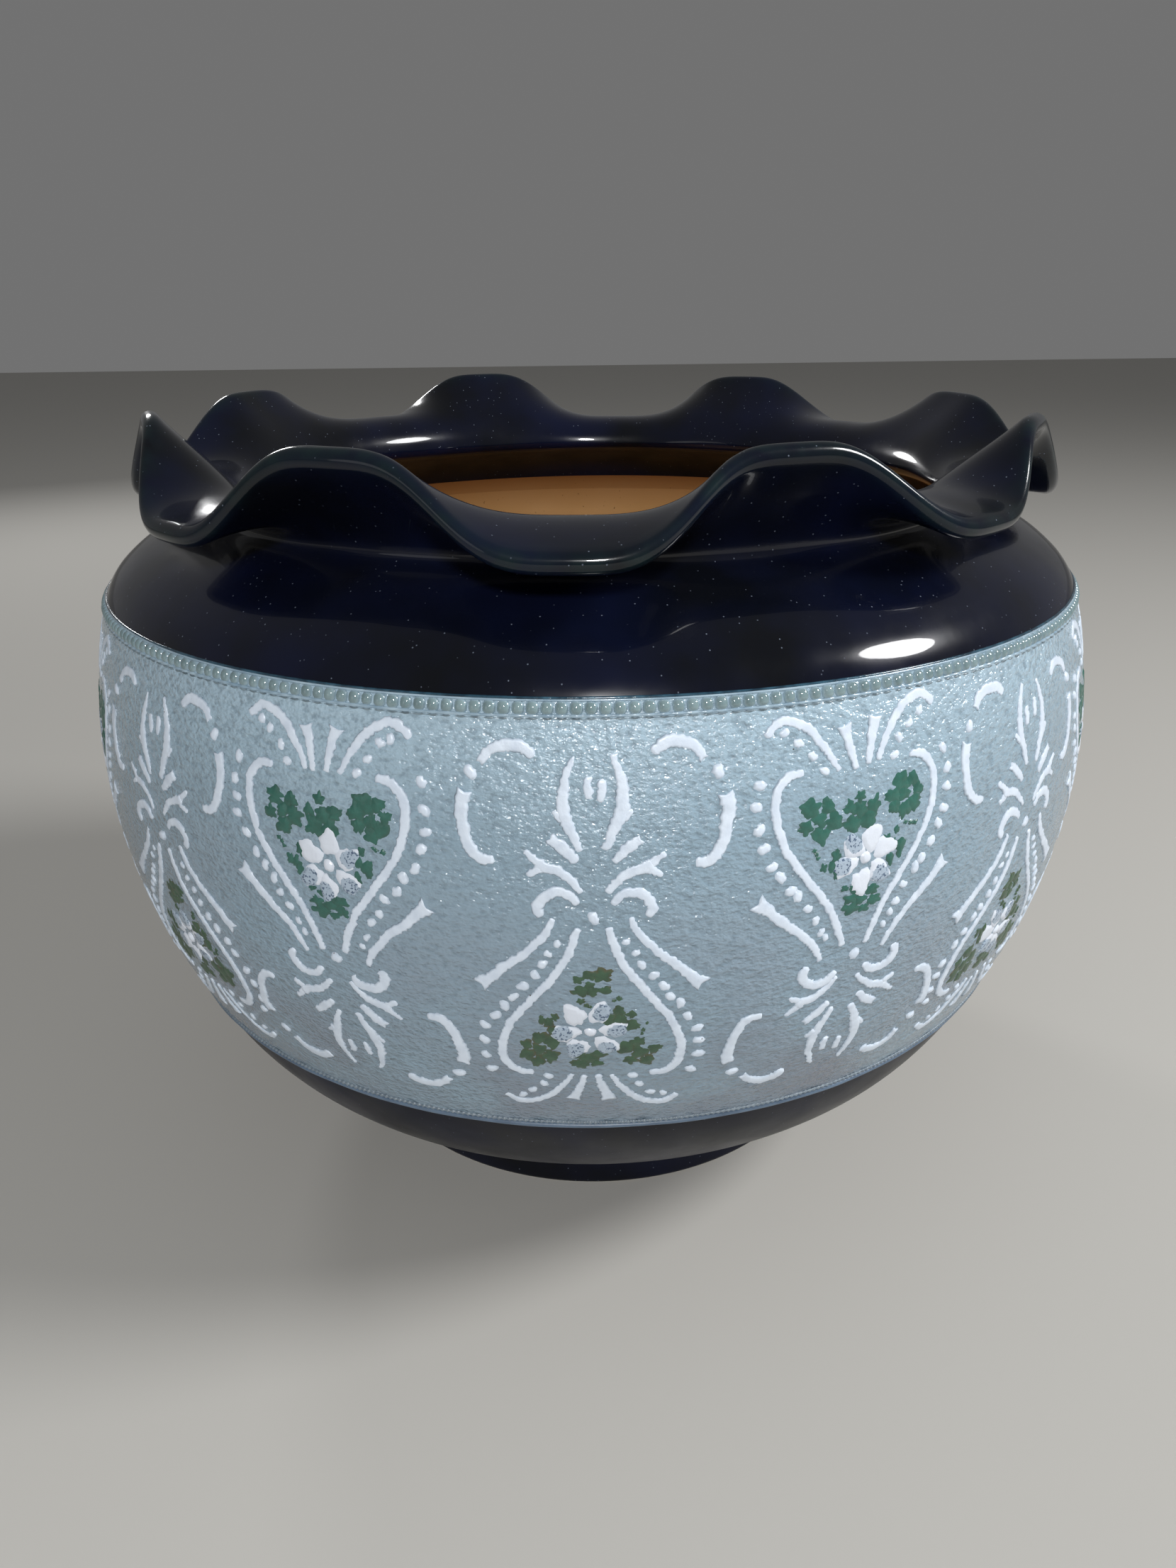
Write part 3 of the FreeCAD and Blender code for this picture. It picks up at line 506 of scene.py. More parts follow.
def make_bead_glaze():
    # A drop of clear grey-green glaze in each bead's cup, smooth as a lens, so that each
    # bead has a light of its own, with the paler ground round its edge
    glaze, shader = new_material("clear_bead_glaze")
    place = add_node(glaze, "TexCoord", {}, "Object")
    shade = add_node(glaze, "TexNoise", {"Vector": place, "Scale": per(4), "Detail": 2.0})
    shade = add_node(glaze, "MapRange", {"Value": shade, "From Min": 0.35, "From Max": 0.65})
    body = add_node(
        glaze, "Mix", {"Factor_Float": shade, "A_Color": "#6b8084", "B_Color": "#7f9498"}, data_type="RGBA"
    )
    edge = add_node(glaze, "Attribute", {}, "Fac", attribute_name="edge")
    edge = add_node(glaze, "MapRange", {"Value": edge, "From Min": 0.62, "From Max": 0.98})
    body = add_node(
        glaze, "Mix", {"Factor_Float": edge, "A_Color": body, "B_Color": "#94aab6"}, data_type="RGBA"
    )
    feed(shader, {
        "Base Color": body, "Roughness": 0.05, "IOR": 1.55, "Coat Weight": 0.5, "Coat Roughness": 0.03,
    })
    return glaze


def make_fillet_slip(name, pale, dark, size, roughness, coat_roughness):
    # Thin lines of coloured slip run round the pot on the wheel, under the clear glaze, with
    # a slightly grainy face and a tone that shifts every few millimetres
    slip, shader = new_material(name)
    place = add_node(slip, "TexCoord", {}, "Object")
    shade = add_node(slip, "TexNoise", {"Vector": place, "Scale": per(size), "Detail": 3.0})
    shade = add_node(slip, "MapRange", {"Value": shade, "From Min": 0.35, "From Max": 0.68})
    body = add_node(slip, "Mix", {"Factor_Float": shade, "A_Color": pale, "B_Color": dark}, data_type="RGBA")
    grain = add_node(slip, "TexNoise", {"Vector": place, "Scale": per(1.2), "Detail": 2.0})
    grain = add_node(slip, "Bump", {"Height": grain, "Distance": 0.08 * MM})
    feed(shader, {
        "Base Color": body, "Roughness": roughness, "IOR": 1.5, "Normal": grain,
        "Coat Weight": 0.5, "Coat Roughness": coat_roughness,
    })
    return slip


# The cobalt glaze is full on shoulder and rim, matt where it runs thin inside the neck, and
# duller under the bowl
cobalt_glaze = make_cobalt_glaze("cobalt_glaze", 0.16, 0.5)
inner_cobalt = make_cobalt_glaze("thin_cobalt_inside_neck", 0.4, 0.0)
bowl_cobalt = make_cobalt_glaze("worn_cobalt_under_bowl", 0.34, 0.14)
tan_glaze = make_tan_glaze()
bare_stoneware = make_bare_stoneware()
linen_ground = make_linen_ground()
white_slip = make_white_slip()
olive_leaf = make_leaf_enamel("olive_leaf_enamel", "#3b5a42", "#314a38", "#564c34")
teal_leaf = make_leaf_enamel("teal_leaf_enamel", "#2f6459", "#28564c", "#37524a")
petal_enamel = make_petal_enamel()
bead_glaze = make_bead_glaze()
blue_slip = make_fillet_slip("pale_blue_slip", "#a3b9c7", "#839cae", 5.0, 0.22, 0.08)
foot_line_slip = make_fillet_slip("deep_blue_slip", "#5b6f84", "#4b5e73", 5.0, 0.45, 0.35)
foot_cord_slip = make_fillet_slip("grey_cord_slip", "#76838d", "#66737e", 2.0, 0.4, 0.3)
teal_line = make_fillet_slip("teal_edge_glaze", "#17303f", "#365a6d", 3.0, 0.15, 0.03)
seam_line = make_fillet_slip("grey_roller_seam", "#56666f", "#7d8e97", 2.0, 0.35, 0.1)


# The foot and lower bowl

TURNED_COLUMNS = 512
# Points on each side that a corner is rounded over, and passes
FOOT_CORNER = (5, 6)
# Waves round, millimetres in which one leans once round, and size in percent of the radius;
# the unevenness dies out towards the standing ring and the belt
BOWL_SWELL = ((2, 3, 5), 60, 0.12)
SWELL_LOWEST = 3.0
SWELL_EASES = 10.0
BARE_ROWS_UP_THE_FOOT = 2


def lower_body():
    """Foot, bowl and floor: a closed profile of lines and arcs, swept round the axis.

    Every radius is then multiplied by one and a small ripple.
    """
    ring_inner = FOOT_BOTTOM_RADIUS - FOOT_RING_WIDTH
    round_ = FOOT_EDGE_ROUND
    under = np.concatenate([
        line((0, FOOT_RECESS_DEPTH), (ring_inner - 2 * round_, FOOT_RECESS_DEPTH), 12),
        arc(
            (ring_inner - round_, FOOT_RECESS_DEPTH), (ring_inner, FOOT_RECESS_DEPTH - round_),
            round_, 5, -1,
        ),
        line((ring_inner, FOOT_RECESS_DEPTH - 2 * round_), (ring_inner, 2 * round_), 3),
        arc((ring_inner, round_), (ring_inner + round_, 0), round_, 5, 1),
        line((ring_inner + 2 * round_, 0), (FOOT_BOTTOM_RADIUS - 2 * round_, 0), 4),
    ])
    foot = np.concatenate([
        arc((FOOT_BOTTOM_RADIUS - round_, 0), (FOOT_BOTTOM_RADIUS, round_), round_, 6, 1),
        line((FOOT_BOTTOM_RADIUS + FOOT_LEAN, 2 * round_), (FOOT_TOP_RADIUS, FOOT_TOP - FOOT_TOP_DROP), 12),
    ])
    bowl = arc((FOOT_TOP_RADIUS, FOOT_TOP), (BELT_LOW_RADIUS, BELT_BOTTOM), BOWL_CURVE_RADIUS, 60, 1)[1:]
    inner_edge = math.sqrt((BELT_RADIUS - WALL) ** 2 - (BELT_CENTRE - BELT_BOTTOM) ** 2)
    inside = np.concatenate([
        arc((inner_edge, BELT_BOTTOM), (FLOOR_RADIUS, FOOT_TOP), BOWL_LINING_RADIUS, 40, -1),
        line((FLOOR_RADIUS - FLOOR_CORNER, FOOT_TOP), (0, FOOT_TOP), 10),
    ])
    profile = np.concatenate([under, foot, bowl, inside])
    smooth = soften(profile, len(under) + len(foot), *FOOT_CORNER)
    points = swept(smooth, TURNED_COLUMNS)
    angles, height = np.arctan2(points[..., 0], -points[..., 1]), points[..., 2]
    free = np.clip(np.minimum(height - SWELL_LOWEST, BELT_BOTTOM - height) / SWELL_EASES, 0, 1)
    swell = 1 + ripple(angles, height, *BOWL_SWELL) * free / 100
    points[..., :2] *= swell[..., None]
    rows = len(profile)
    finish = np.zeros((rows - 1, TURNED_COLUMNS))
    finish[: len(under) + BARE_ROWS_UP_THE_FOOT] = 2
    finish[rows - len(inside) :] = 1
    make_piece(
        "glazed_foot_and_bowl", points, quads(rows, TURNED_COLUMNS, False, True),
        [bowl_cobalt, tan_glaze, bare_stoneware], ("foot_base", "lower_bowl"), finish,
        {"lip": np.zeros(points.shape[:2])}, creased=True,
    )


# The belt

BELT_COLUMNS = 704
BELT_ROWS = 130
BELT_INNER_ROWS = 8
CLOTH_RELIEF = 0.065
# Rows at both edges over which the cloth's relief dies out
CLOTH_EDGE_ROWS = 3


def belt():
    """The belt's wall: circles of latitude on two balls, with the grain of cloth on the outer.

    The grain is half the sum of four random numbers: a point's own, those of the points on
    both sides and that of the one below.
    """
    low = math.asin((BELT_BOTTOM - BELT_CENTRE) / BELT_RADIUS)
    high = math.asin((BELT_TOP - BELT_CENTRE) / BELT_RADIUS)
    latitude = np.linspace(low, high, BELT_ROWS)
    outer = np.stack([np.cos(latitude), np.sin(latitude)], axis=1) * BELT_RADIUS + (0, BELT_CENTRE)
    inner_radius = BELT_RADIUS - WALL
    low = math.asin((BELT_BOTTOM - BELT_CENTRE) / inner_radius)
    high = math.asin((BELT_TOP - BELT_CENTRE) / inner_radius)
    latitude = np.linspace(high, low, BELT_INNER_ROWS)
    inner = np.stack([np.cos(latitude), np.sin(latitude)], axis=1) * inner_radius + (0, BELT_CENTRE)
    points = swept(np.concatenate([outer, inner]), BELT_COLUMNS)
    grain = hand.normal(size=(BELT_ROWS, BELT_COLUMNS))
    grain = (grain + np.roll(grain, 1, 1) + np.roll(grain, 1, 0) + np.roll(grain, -1, 1)) / 2
    edge = np.minimum(np.arange(BELT_ROWS), np.arange(BELT_ROWS)[::-1]) / CLOTH_EDGE_ROWS
    grain *= CLOTH_RELIEF * np.clip(edge, 0, 1)[:, None]
    outward = points[:BELT_ROWS] - (0, 0, BELT_CENTRE)
    points[:BELT_ROWS] += outward * (grain / BELT_RADIUS)[..., None]
    rows = BELT_ROWS + len(inner)
    finish = np.zeros((rows, BELT_COLUMNS))
    finish[BELT_ROWS - 1 :] = 1
    make_piece(
        "linen_pressed_belt", points, quads(rows, BELT_COLUMNS, True, True), [linen_ground, tan_glaze],
        ("belt_wall",), finish, creased=True,
    )


# The shoulder and frilled rim

# The four points of the rim's section at a crest and at a dip: shares of reach and rise
CREST_SHARES = np.array([(0.0, 0.0), (0.0, 0.38), (0.53, 0.6), (1.0, 1.0)])
DIP_SHARES = np.array([(0.0, 0.0), (0.0, 1.35), (0.27, 2.0), (1.0, 1.0)])
# A row is one lobe: how far its crest is out of its even place, in shares of the lobes'
# pitch, then the crest's reach and rise as shares of the even ones, and the same three for
# the dip that follows it
LOBE_SHARES = [
    (-0.04, 0.85, 0.98, -0.02, 0.9, 1.0),
    (-0.11, 1.1, 0.96, -0.15, 0.95, 0.55),
    (-0.13, 1.15, 0.91, -0.13, 1.0, 1.1),
    (-0.17, 0.9, 0.97, -0.13, 1.0, 0.95),
    (-0.05, 0.9, 1.03, -0.09, 1.0, 1.35),
    (0.0, 1.0, 1.0, 0.0, 0.95, 0.6),
    (-0.01, 0.95, 1.06, -0.04, 0.93, 0.9),
    (-0.05, 1.2, 1.0, -0.04, 1.0, 1.1),
]
FLANK_STEEPNESS_SHARE = 0.5
COLUMNS_PER_FLANK = 30
RIM_ROWS = 34
LIP_ROWS = 9
LIP_RUN_ROWS = 4.5
# Points on each side that the neck is rounded over, and passes, outside and inside
NECK_CORNER_OUTSIDE = (7, 14)
NECK_CORNER_INSIDE = (5, 8)
# Waves round, millimetres in which one leans once round, and size in millimetres; rows next
# to the belt that stay true, and rows over which the unevenness then begins
RIM_REACH_SWELL = ((2, 3, 5, 7), 40, 0.2)
RIM_RISE_SWELL = ((3, 4, 6), 50, 0.15)
TRUE_ROWS = 4
EASING_ROWS = 10


def flanks():
    """Angle, crestness, and the crest's and dip's reach and rise, for each column of the rim.

    Down a flank the crestness falls from 1 to 0, and up the next it climbs the same way: half
    of one and a cosine, the cosine first times one and a share of its squared sine.
    """
    lobes = len(LOBE_SHARES)
    pitch = 2 * math.pi / lobes
    table = np.array(LOBE_SHARES)
    crest_angle = (np.arange(lobes) + 0.5 + table[:, 0]) * pitch
    dip_angle = (np.arange(lobes) + 1 + table[:, 3]) * pitch
    crest = table[:, 1:3] * (CREST_REACH, CREST_RISE)
    dip = table[:, 4:6] * (DIP_REACH, DIP_RISE)
    share = np.arange(COLUMNS_PER_FLANK) / COLUMNS_PER_FLANK
    swing = np.cos(math.pi * share)
    swing = swing * (1 + FLANK_STEEPNESS_SHARE * (1 - swing**2))
    angles, crestness, crests, dips = [], [], [], []
    for lobe in range(lobes):
        following = (lobe + 1) % lobes
        next_angle = crest_angle[following] + (2 * math.pi if following == 0 else 0)
        angles.append(crest_angle[lobe] + (dip_angle[lobe] - crest_angle[lobe]) * share)
        angles.append(dip_angle[lobe] + (next_angle - dip_angle[lobe]) * share)
        crestness += [(1 + swing) / 2, (1 - swing) / 2]
        crests += [np.tile(crest[lobe], (len(share), 1)), np.tile(crest[following], (len(share), 1))]
        dips += [np.tile(dip[lobe], (len(share), 1))] * 2
    return tuple(np.concatenate(part) for part in (angles, crestness, crests, dips))


def upper_body():
    """Shoulder, neck and frilled rim as one wall.

    Across the wall a section runs up the shoulder's arcs, up a Bezier line offset to the
    wall's outside, round the lip's half circle and back down the inside. The Bezier's four
    points are the crest's times the crestness and the dip's times the rest of one. The lip's
    mark falls off either side of its tip as a bell curve.
    """
    angles, crestness, crests, dips = flanks()
    weight = crestness[:, None, None]
    poles = weight * CREST_SHARES * crests[:, None, :] + (1 - weight) * DIP_SHARES * dips[:, None, :]
    poles = poles + (NECK_RADIUS - NECK_WALL / 2, NECK_HEIGHT)
    share = np.linspace(0, 1, RIM_ROWS)[:, None]
    powers = np.concatenate(
        [(1 - share) ** 3, 3 * (1 - share) ** 2 * share, 3 * (1 - share) * share**2, share**3], axis=1
    )
    slopes = 3 * np.concatenate([(1 - share) ** 2, 2 * (1 - share) * share, share**2], axis=1)
    middle = np.einsum("sp,cpx->csx", powers, poles)
    along = np.einsum("sp,cpx->csx", slopes, np.diff(poles, axis=1))
    along /= np.linalg.norm(along, axis=2, keepdims=True)
    across = np.stack([along[..., 1], -along[..., 0]], axis=-1)
    half = (NECK_WALL * (1 - share) + LIP_THICKNESS * share) / 2
    outer, inner = middle + across * half, middle - across * half
    turns = np.linspace(0, math.pi, LIP_ROWS + 2)[1:-1][None, :, None]
    tip = middle[:, -1:] + (across[:, -1:] * np.cos(turns) + along[:, -1:] * np.sin(turns)) * half[-1]
    knee = (BELT_TOP_RADIUS - KNEE_INSET, BELT_TOP + KNEE_RISE)
    shoulder = np.concatenate([
        arc((BELT_TOP_RADIUS, BELT_TOP), knee, SHOULDER_CORNER_RADIUS, 10, 1),
        arc(knee, (NECK_RADIUS, NECK_HEIGHT), SHOULDER_CURVE_RADIUS, 26, 1)[1:],
    ])
    inner_edge = math.sqrt((BELT_RADIUS - WALL) ** 2 - (BELT_CENTRE - BELT_TOP) ** 2)
    inner_neck = (NECK_RADIUS - NECK_WALL, NECK_HEIGHT)
    lining = arc(inner_neck, (inner_edge, BELT_TOP), SHOULDER_INNER_RADIUS, 22, -1)
    level_parts = [np.tile(part[None], (len(angles), 1, 1)) for part in (shoulder[:-1], lining[1:])]
    section = np.concatenate([level_parts[0], outer, tip, inner[:, ::-1], level_parts[1]], axis=1)
    section = section.transpose(1, 0, 2)
    neck_row = len(shoulder) - 1
    inner_neck_row = neck_row + 2 * RIM_ROWS + LIP_ROWS - 1
    section = soften(section, neck_row, *NECK_CORNER_OUTSIDE)
    section = soften(section, inner_neck_row, *NECK_CORNER_INSIDE)
    level = np.arange(len(section))
    tip_row = neck_row + RIM_ROWS + LIP_ROWS / 2
    lip = np.exp(-((level - tip_row) / LIP_RUN_ROWS) ** 2)[:, None] * np.ones(len(angles))
    radius, height = section[..., 0], section[..., 1]
    free = np.clip(np.minimum(level - TRUE_ROWS, level[-1] - level) / EASING_ROWS, 0, 1)[:, None]
    radius = radius + ripple(angles[None], height, *RIM_REACH_SWELL) * free
    height = height + ripple(angles[None], height, *RIM_RISE_SWELL) * free
    points = np.stack([radius * np.sin(angles), -radius * np.cos(angles), height], axis=-1)
    finish = np.zeros(points.shape[:2])
    finish[inner_neck_row:] = np.where(height[inner_neck_row:] > INSIDE_TAN_TOP, 1, 2)
    make_piece(
        "glazed_shoulder_and_rim", points, quads(len(section), len(angles), True, True),
        [cobalt_glaze, inner_cobalt, tan_glaze], ("shoulder", "frilled_rim"), finish,
        {"lip": lip}, creased=True,
    )


lower_body()
belt()
upper_body()


# Rings round the belt

BEADS = 304
FOOT_CORD_BEADS = 640
RING_COLUMNS = 720
RING_SIDES = 9
# How far, in radians, a ring's half circle goes on into the ground, and how much taller
# than wide it stands
RING_SINKS = 0.25
RING_STAND = 1.1
RING_SWELL = ((5, 9, 23, 41), 1, 0.08)


def latitude_at(height):
    """Latitude on the belt's ball of a height in millimetres, in radians."""
    return math.asin((height - BELT_CENTRE) / BELT_RADIUS)


def ring(name, height, radius, material, node=None, waves=0, depth=0.0, columns=RING_COLUMNS):
    """A ring on the belt: a half circle carried round it, whose radius may wave evenly.

    The half circle's radius is the ring's, times one and a share of a cosine round the pot,
    times one and a small ripple.
    """
    latitude = latitude_at(height)
    angles = np.arange(columns) * 2 * math.pi / columns
    turns = np.linspace(-RING_SINKS, math.pi + RING_SINKS, RING_SIDES)
    girth = radius * (1 + depth * np.cos(waves * angles))[None, :]
    girth = girth * (1 + ripple(angles, np.zeros(columns), *RING_SWELL))
    up = girth * np.cos(turns)[:, None]
    out = BELT_RADIUS + girth * np.sin(turns)[:, None] * RING_STAND
    reach = out * math.cos(latitude) - up * math.sin(latitude)
    rise = BELT_CENTRE + out * math.sin(latitude) + up * math.cos(latitude)
    points = np.stack([reach * np.sin(angles), -reach * np.cos(angles), rise], axis=-1)
    faces = quads(RING_SIDES, columns, True, True)
    make_piece(name, points, faces, [material], (node,) if node else ())


def node_middle(node):
    """Height of the middle of a ring's node, in millimetres."""
    low, high = heights_of(node)
    return (low + high) / 2


upper_line = node_middle("bead_fillet_upper")
lower_line = node_middle("bead_fillet_lower")
foot_line = node_middle("belt_foot_fillet")
cord_line = node_middle("belt_foot_cord")
bead_line = (upper_line + lower_line) / 2
# Name, height and radius in millimetres, slip and node of each ring; then, on a scalloped or
# corded one, how many waves it has, how deep they are, and its columns
RINGS = [
    ("teal_glaze_edge", upper_line + 0.32, 0.3, teal_line),
    ("blue_fillet_over_beads", upper_line, 0.28, blue_slip, "bead_fillet_upper"),
    (
        "scalloped_fillet_under_beads", lower_line + 0.05, 0.32, blue_slip, "bead_fillet_lower",
        BEADS, 0.25, BEADS * 6,
    ),
    ("dashed_line_under_beads", lower_line - 0.42, 0.13, seam_line, None, BEADS, 0.8, BEADS * 6),
    ("blue_fillet_at_belt_foot", foot_line, 0.55, foot_line_slip, "belt_foot_fillet"),
    (
        "corded_line_at_belt_foot", cord_line, 0.36, foot_cord_slip, "belt_foot_cord",
        FOOT_CORD_BEADS, 0.35, FOOT_CORD_BEADS * 4,
    ),
]
for ring_row in RINGS:
    ring(*ring_row)


# Places on the belt

def ball_directions(across, along):
    """Unit directions from the belt ball's centre to places on its skin.

    across and along are millimetres on the skin from the front of its widest line: along
    over the radius is the latitude, and across over the level circle's radius the longitude.
    """
    latitude = along / BELT_RADIUS
    longitude = across / (BELT_RADIUS * np.cos(latitude))
    level = np.cos(latitude)
    return np.stack([level * np.sin(longitude), -level * np.cos(longitude), np.sin(latitude)], axis=-1)


def turned(axis, degrees):
    """The 3 by 3 turn about an axis through the ball's centre."""
    return np.array(Matrix.Rotation(math.radians(degrees), 3, axis))


def lay(across, along, rise, turns):
    """Points over the belt for every turn: copies first, then the shape of the inputs.

    across, along and rise may differ from copy to copy; rise is the height over the skin.
    """
    spots = ball_directions(across, along) * (BELT_RADIUS + rise)[..., None]
    return np.einsum("nij,n...j->n...i", turns, spots) + (0, 0, BELT_CENTRE)


# Beads

BEAD_TALLNESS = 1.08
BEAD_SIDES = 12
BEAD_SIZES_VARY = 0.03
SQUARENESS = 3
# Radius and height of a bead's section, from its top out into the ground
BEAD_SECTION = np.array([(0.0, 0.85), (0.5, 0.78), (0.85, 0.55), (1.05, 0.25), (1.16, 0.0), (1.2, -0.3)])


def bead_row():
    """Cushions of clear glaze: a section of radius and height carried round a rounded square.

    The square's edge is where the cubes of the sides' shares add up to one.
    """
    spin = np.arange(BEAD_SIDES) * 2 * math.pi / BEAD_SIDES
    cubes = np.abs(np.cos(spin)) ** SQUARENESS + np.abs(np.sin(spin)) ** SQUARENESS
    square = cubes ** (-1 / SQUARENESS)
    radius = BEAD_SECTION[:, :1]
    across = radius * np.cos(spin) * square
    along = radius * np.sin(spin) * square * BEAD_TALLNESS
    rise = np.broadcast_to(BEAD_SECTION[:, 1:], across.shape)
    turns = np.stack([turned("Z", 360 * n / BEADS) for n in range(BEADS)])
    tilt = turned("X", -math.degrees(latitude_at(bead_line)))
    size_of = 1 + hand.normal(size=(BEADS, 1, 1)).clip(-2, 2) * BEAD_SIZES_VARY
    points = lay(across * size_of, along * size_of, rise * size_of, turns @ tilt)
    faces = tiled(quads(len(BEAD_SECTION), BEAD_SIDES, False, True), BEADS, across.size)
    edge = np.tile(np.repeat(radius[:, 0] / radius[-1, 0], BEAD_SIDES), BEADS)
    make_piece(
        "bead_row_of_glaze", points, faces, [bead_glaze], ("bead_row",), None, {"edge": edge}
    )


bead_row()


# The motifs of trailed slip

# Each has a knot, with a palmette on its plus side and a heart on its minus side. Places are
# shares: across, of half the motifs' pitch; along, of the motif's reach
MOTIFS = 16
MOTIF_REACH_SHARE = 0.505
UPRIGHT_KNOT_SHARE = 0.597
INVERTED_KNOT_SHARE = 0.45
STROKE_WIDTH = 2.35
SLIP_HEIGHT = 0.3
belt_low = latitude_at(BELT_BOTTOM)
belt_span = latitude_at(BELT_TOP) - belt_low
HALF_PITCH = math.pi * BELT_RADIUS / MOTIFS
REACH = MOTIF_REACH_SHARE * belt_span * BELT_RADIUS
# Degrees by which the two motifs beside the front one were laid off their even places, and
# those by which any of them strays and sways
MOTIF_SLIPS = {1: 0.9, 15: -0.4}
MOTIF_STRAY = 0.25
MOTIF_SWAY = 0.8


def motif_turns():
    """Turn of each motif over the ball.

    It is a flip for every second one, which is upside down, then its sway, its knot's
    latitude, and its place round the pot.
    """
    turns = []
    for number in range(MOTIFS):
        inverted = number % 2
        knot = INVERTED_KNOT_SHARE if inverted else UPRIGHT_KNOT_SHARE
        lift = turned("X", -math.degrees(belt_low + knot * belt_span))
        flip = np.diag([-1.0, 1.0, -1.0]) if inverted else np.eye(3)
        sway = turned("Y", hand.normal() * MOTIF_SWAY)
        place = 360 * number / MOTIFS + hand.normal() * MOTIF_STRAY + MOTIF_SLIPS.get(number, 0)
        turns.append(turned("Z", place) @ lift @ sway @ flip)
    return np.stack(turns)


MOTIF_TURNS = motif_turns()
# Points of each stroke on one hand of a motif: across, along and width, in shares
STROKE_SHARES = {
    "palmette_inner_petals": [
        (0.12, 0.61, 0.35), (0.175, 0.54, 0.7), (0.2, 0.48, 0.9),
        (0.195, 0.41, 1.1), (0.145, 0.34, 0.9), (0.075, 0.26, 0.55),
    ],
    "palmette_dashes": [(0.066, 0.53, 0.6), (0.062, 0.485, 0.72), (0.058, 0.44, 0.5)],
    "palmette_middle_petals": [(0.34, 0.31, 0.8), (0.235, 0.27, 1.0), (0.125, 0.215, 0.6)],
    "palmette_outer_petals": [
        (0.43, 0.212, 1.15), (0.37, 0.2, 1.0), (0.265, 0.185, 0.85), (0.16, 0.145, 0.7),
        (0.085, 0.1, 0.5),
    ],
    "knot_hooks": [
        (0.13, 0.05, 0.6), (0.2, 0.09, 0.85), (0.3, 0.1, 0.95), (0.39, 0.075, 0.95),
        (0.425, 0.035, 0.95), (0.385, 0.0, 0.75),
    ],
    "heart_outlines": [
        (0.1, -0.04, 0.65), (0.15, -0.12, 0.8), (0.24, -0.22, 0.8), (0.375, -0.32, 0.8),
        (0.52, -0.42, 0.8), (0.635, -0.52, 0.85), (0.685, -0.62, 0.9), (0.66, -0.72, 0.9),
        (0.56, -0.77, 0.85), (0.44, -0.775, 0.65),
    ],
    "heart_flares": [
        (0.27, 0.0, 0.5), (0.345, -0.075, 0.75), (0.48, -0.15, 0.8), (0.64, -0.22, 0.95),
        (0.765, -0.28, 1.15), (0.845, -0.315, 1.8),
    ],
    "fan_swooshes": [
        (0.15, -0.77, 0.5), (0.26, -0.87, 0.75), (0.41, -0.955, 0.85), (0.57, -0.98, 0.85),
        (0.71, -0.93, 0.7),
    ],
    "fan_petals": [(0.05, -0.77, 0.5), (0.085, -0.85, 0.8), (0.125, -0.92, 1.1), (0.14, -0.95, 1.6)],
    "scroll_arches": [
        (0.79, 0.57, 0.75), (0.71, 0.62, 0.9), (0.6, 0.64, 1.05), (0.49, 0.635, 1.05),
        (0.4, 0.6, 0.8),
    ],
    "scroll_cees": [
        (0.91, 0.465, 1.25), (0.94, 0.41, 1.2), (0.93, 0.34, 1.05), (0.89, 0.265, 1.0),
        (0.81, 0.215, 0.95), (0.7, 0.21, 0.7),
    ],
}
# Ends that part like a swallow's tail: which end of the stroke, its first or its last, and
# how far the corners run past the middle, in millimetres
FORKS = {
    "palmette_middle_petals": (0, 0.5),
    "fan_petals": (-1, 0.45),
    "scroll_cees": (0, 0.7),
    "scroll_arches": (0, 0.5),
    "heart_flares": (-1, 1.0),
}
# Prongs and thorns drawn out of a stroke, in millimetres from the knot: where each leaves
# the stroke, its point, and its width at both
PRONGS = {
    "palmette_inner_petals": [((4.5, 18.8), (7.0, 20.6), 2.5, 0.8)],
    "palmette_outer_petals": [((9.0, 9.9), (12.6, 12.9), 2.2, 1.0), ((9.2, 9.8), (12.3, 8.2), 1.9, 1.0)],
}
# The fewest points that a smooth line has
FEWEST_STATIONS = 5


def smooth_line(knots, spacing):
    """A smooth line through knots at even spacing, by Hermite spans over chord lengths.

    A knot's slope is the mean of its spans' slopes, weighted by the other span's length.
    """
    knots = np.array(knots, float)
    steps = np.linalg.norm(np.diff(knots[:, :2], axis=0), axis=1)
    at = np.concatenate([[0], np.cumsum(steps)])
    slope = np.gradient(knots, at, axis=0)
    place = np.linspace(0, at[-1], max(FEWEST_STATIONS, int(at[-1] / spacing) + 1))
    span = np.clip(np.searchsorted(at, place, side="right") - 1, 0, len(at) - 2)
    width = (at[span + 1] - at[span])[:, None]
    share = ((place - at[span])[:, None]) / width
    start, end = knots[span], knots[span + 1]
    return (
        (2 * share**3 - 3 * share**2 + 1) * start
        + (share**3 - 2 * share**2 + share) * slope[span] * width
        + (3 * share**2 - 2 * share**3) * end
        + (share**3 - share**2) * slope[span + 1] * width
    )


def wobble(shape, passes):
    """Random numbers that wander smoothly along the second axis, about 1 in size.

    At each pass every number becomes a quarter of each neighbour and half of itself.
    """
    values = hand.normal(size=shape).clip(-2, 2)
    for _ in range(passes):
        values = (np.roll(values, 1, 1) + 2 * values + np.roll(values, -1, 1)) / 4
    return values / values.std()


# How far apart a line's stations are, how much its edges fray, how far it drifts, and how
# far a forked end's parting reaches back and frays, in millimetres
STATION = 0.42
FRAY = 0.12
DRIFT = 0.07
DRIFT_PASSES = 6
FORK_REACH = 1.3
FORK_FRAY = 0.1
# Powers that shape the parting of a fork and the arch of a line, the share of its width over
# which an end closes, how unevenly it is piled, and how deep its edges, ends and underside
# are sunk, in millimetres
FORK_POWER = 1.4
ARCH_POWER = 5
END_CLOSES = 0.4
PILE_VARIES = 0.1
EDGE_SUNK = 0.04
END_SUNK = 0.2
FORK_END_SUNK = 0.3
UNDERSIDE_SUNK = 0.25
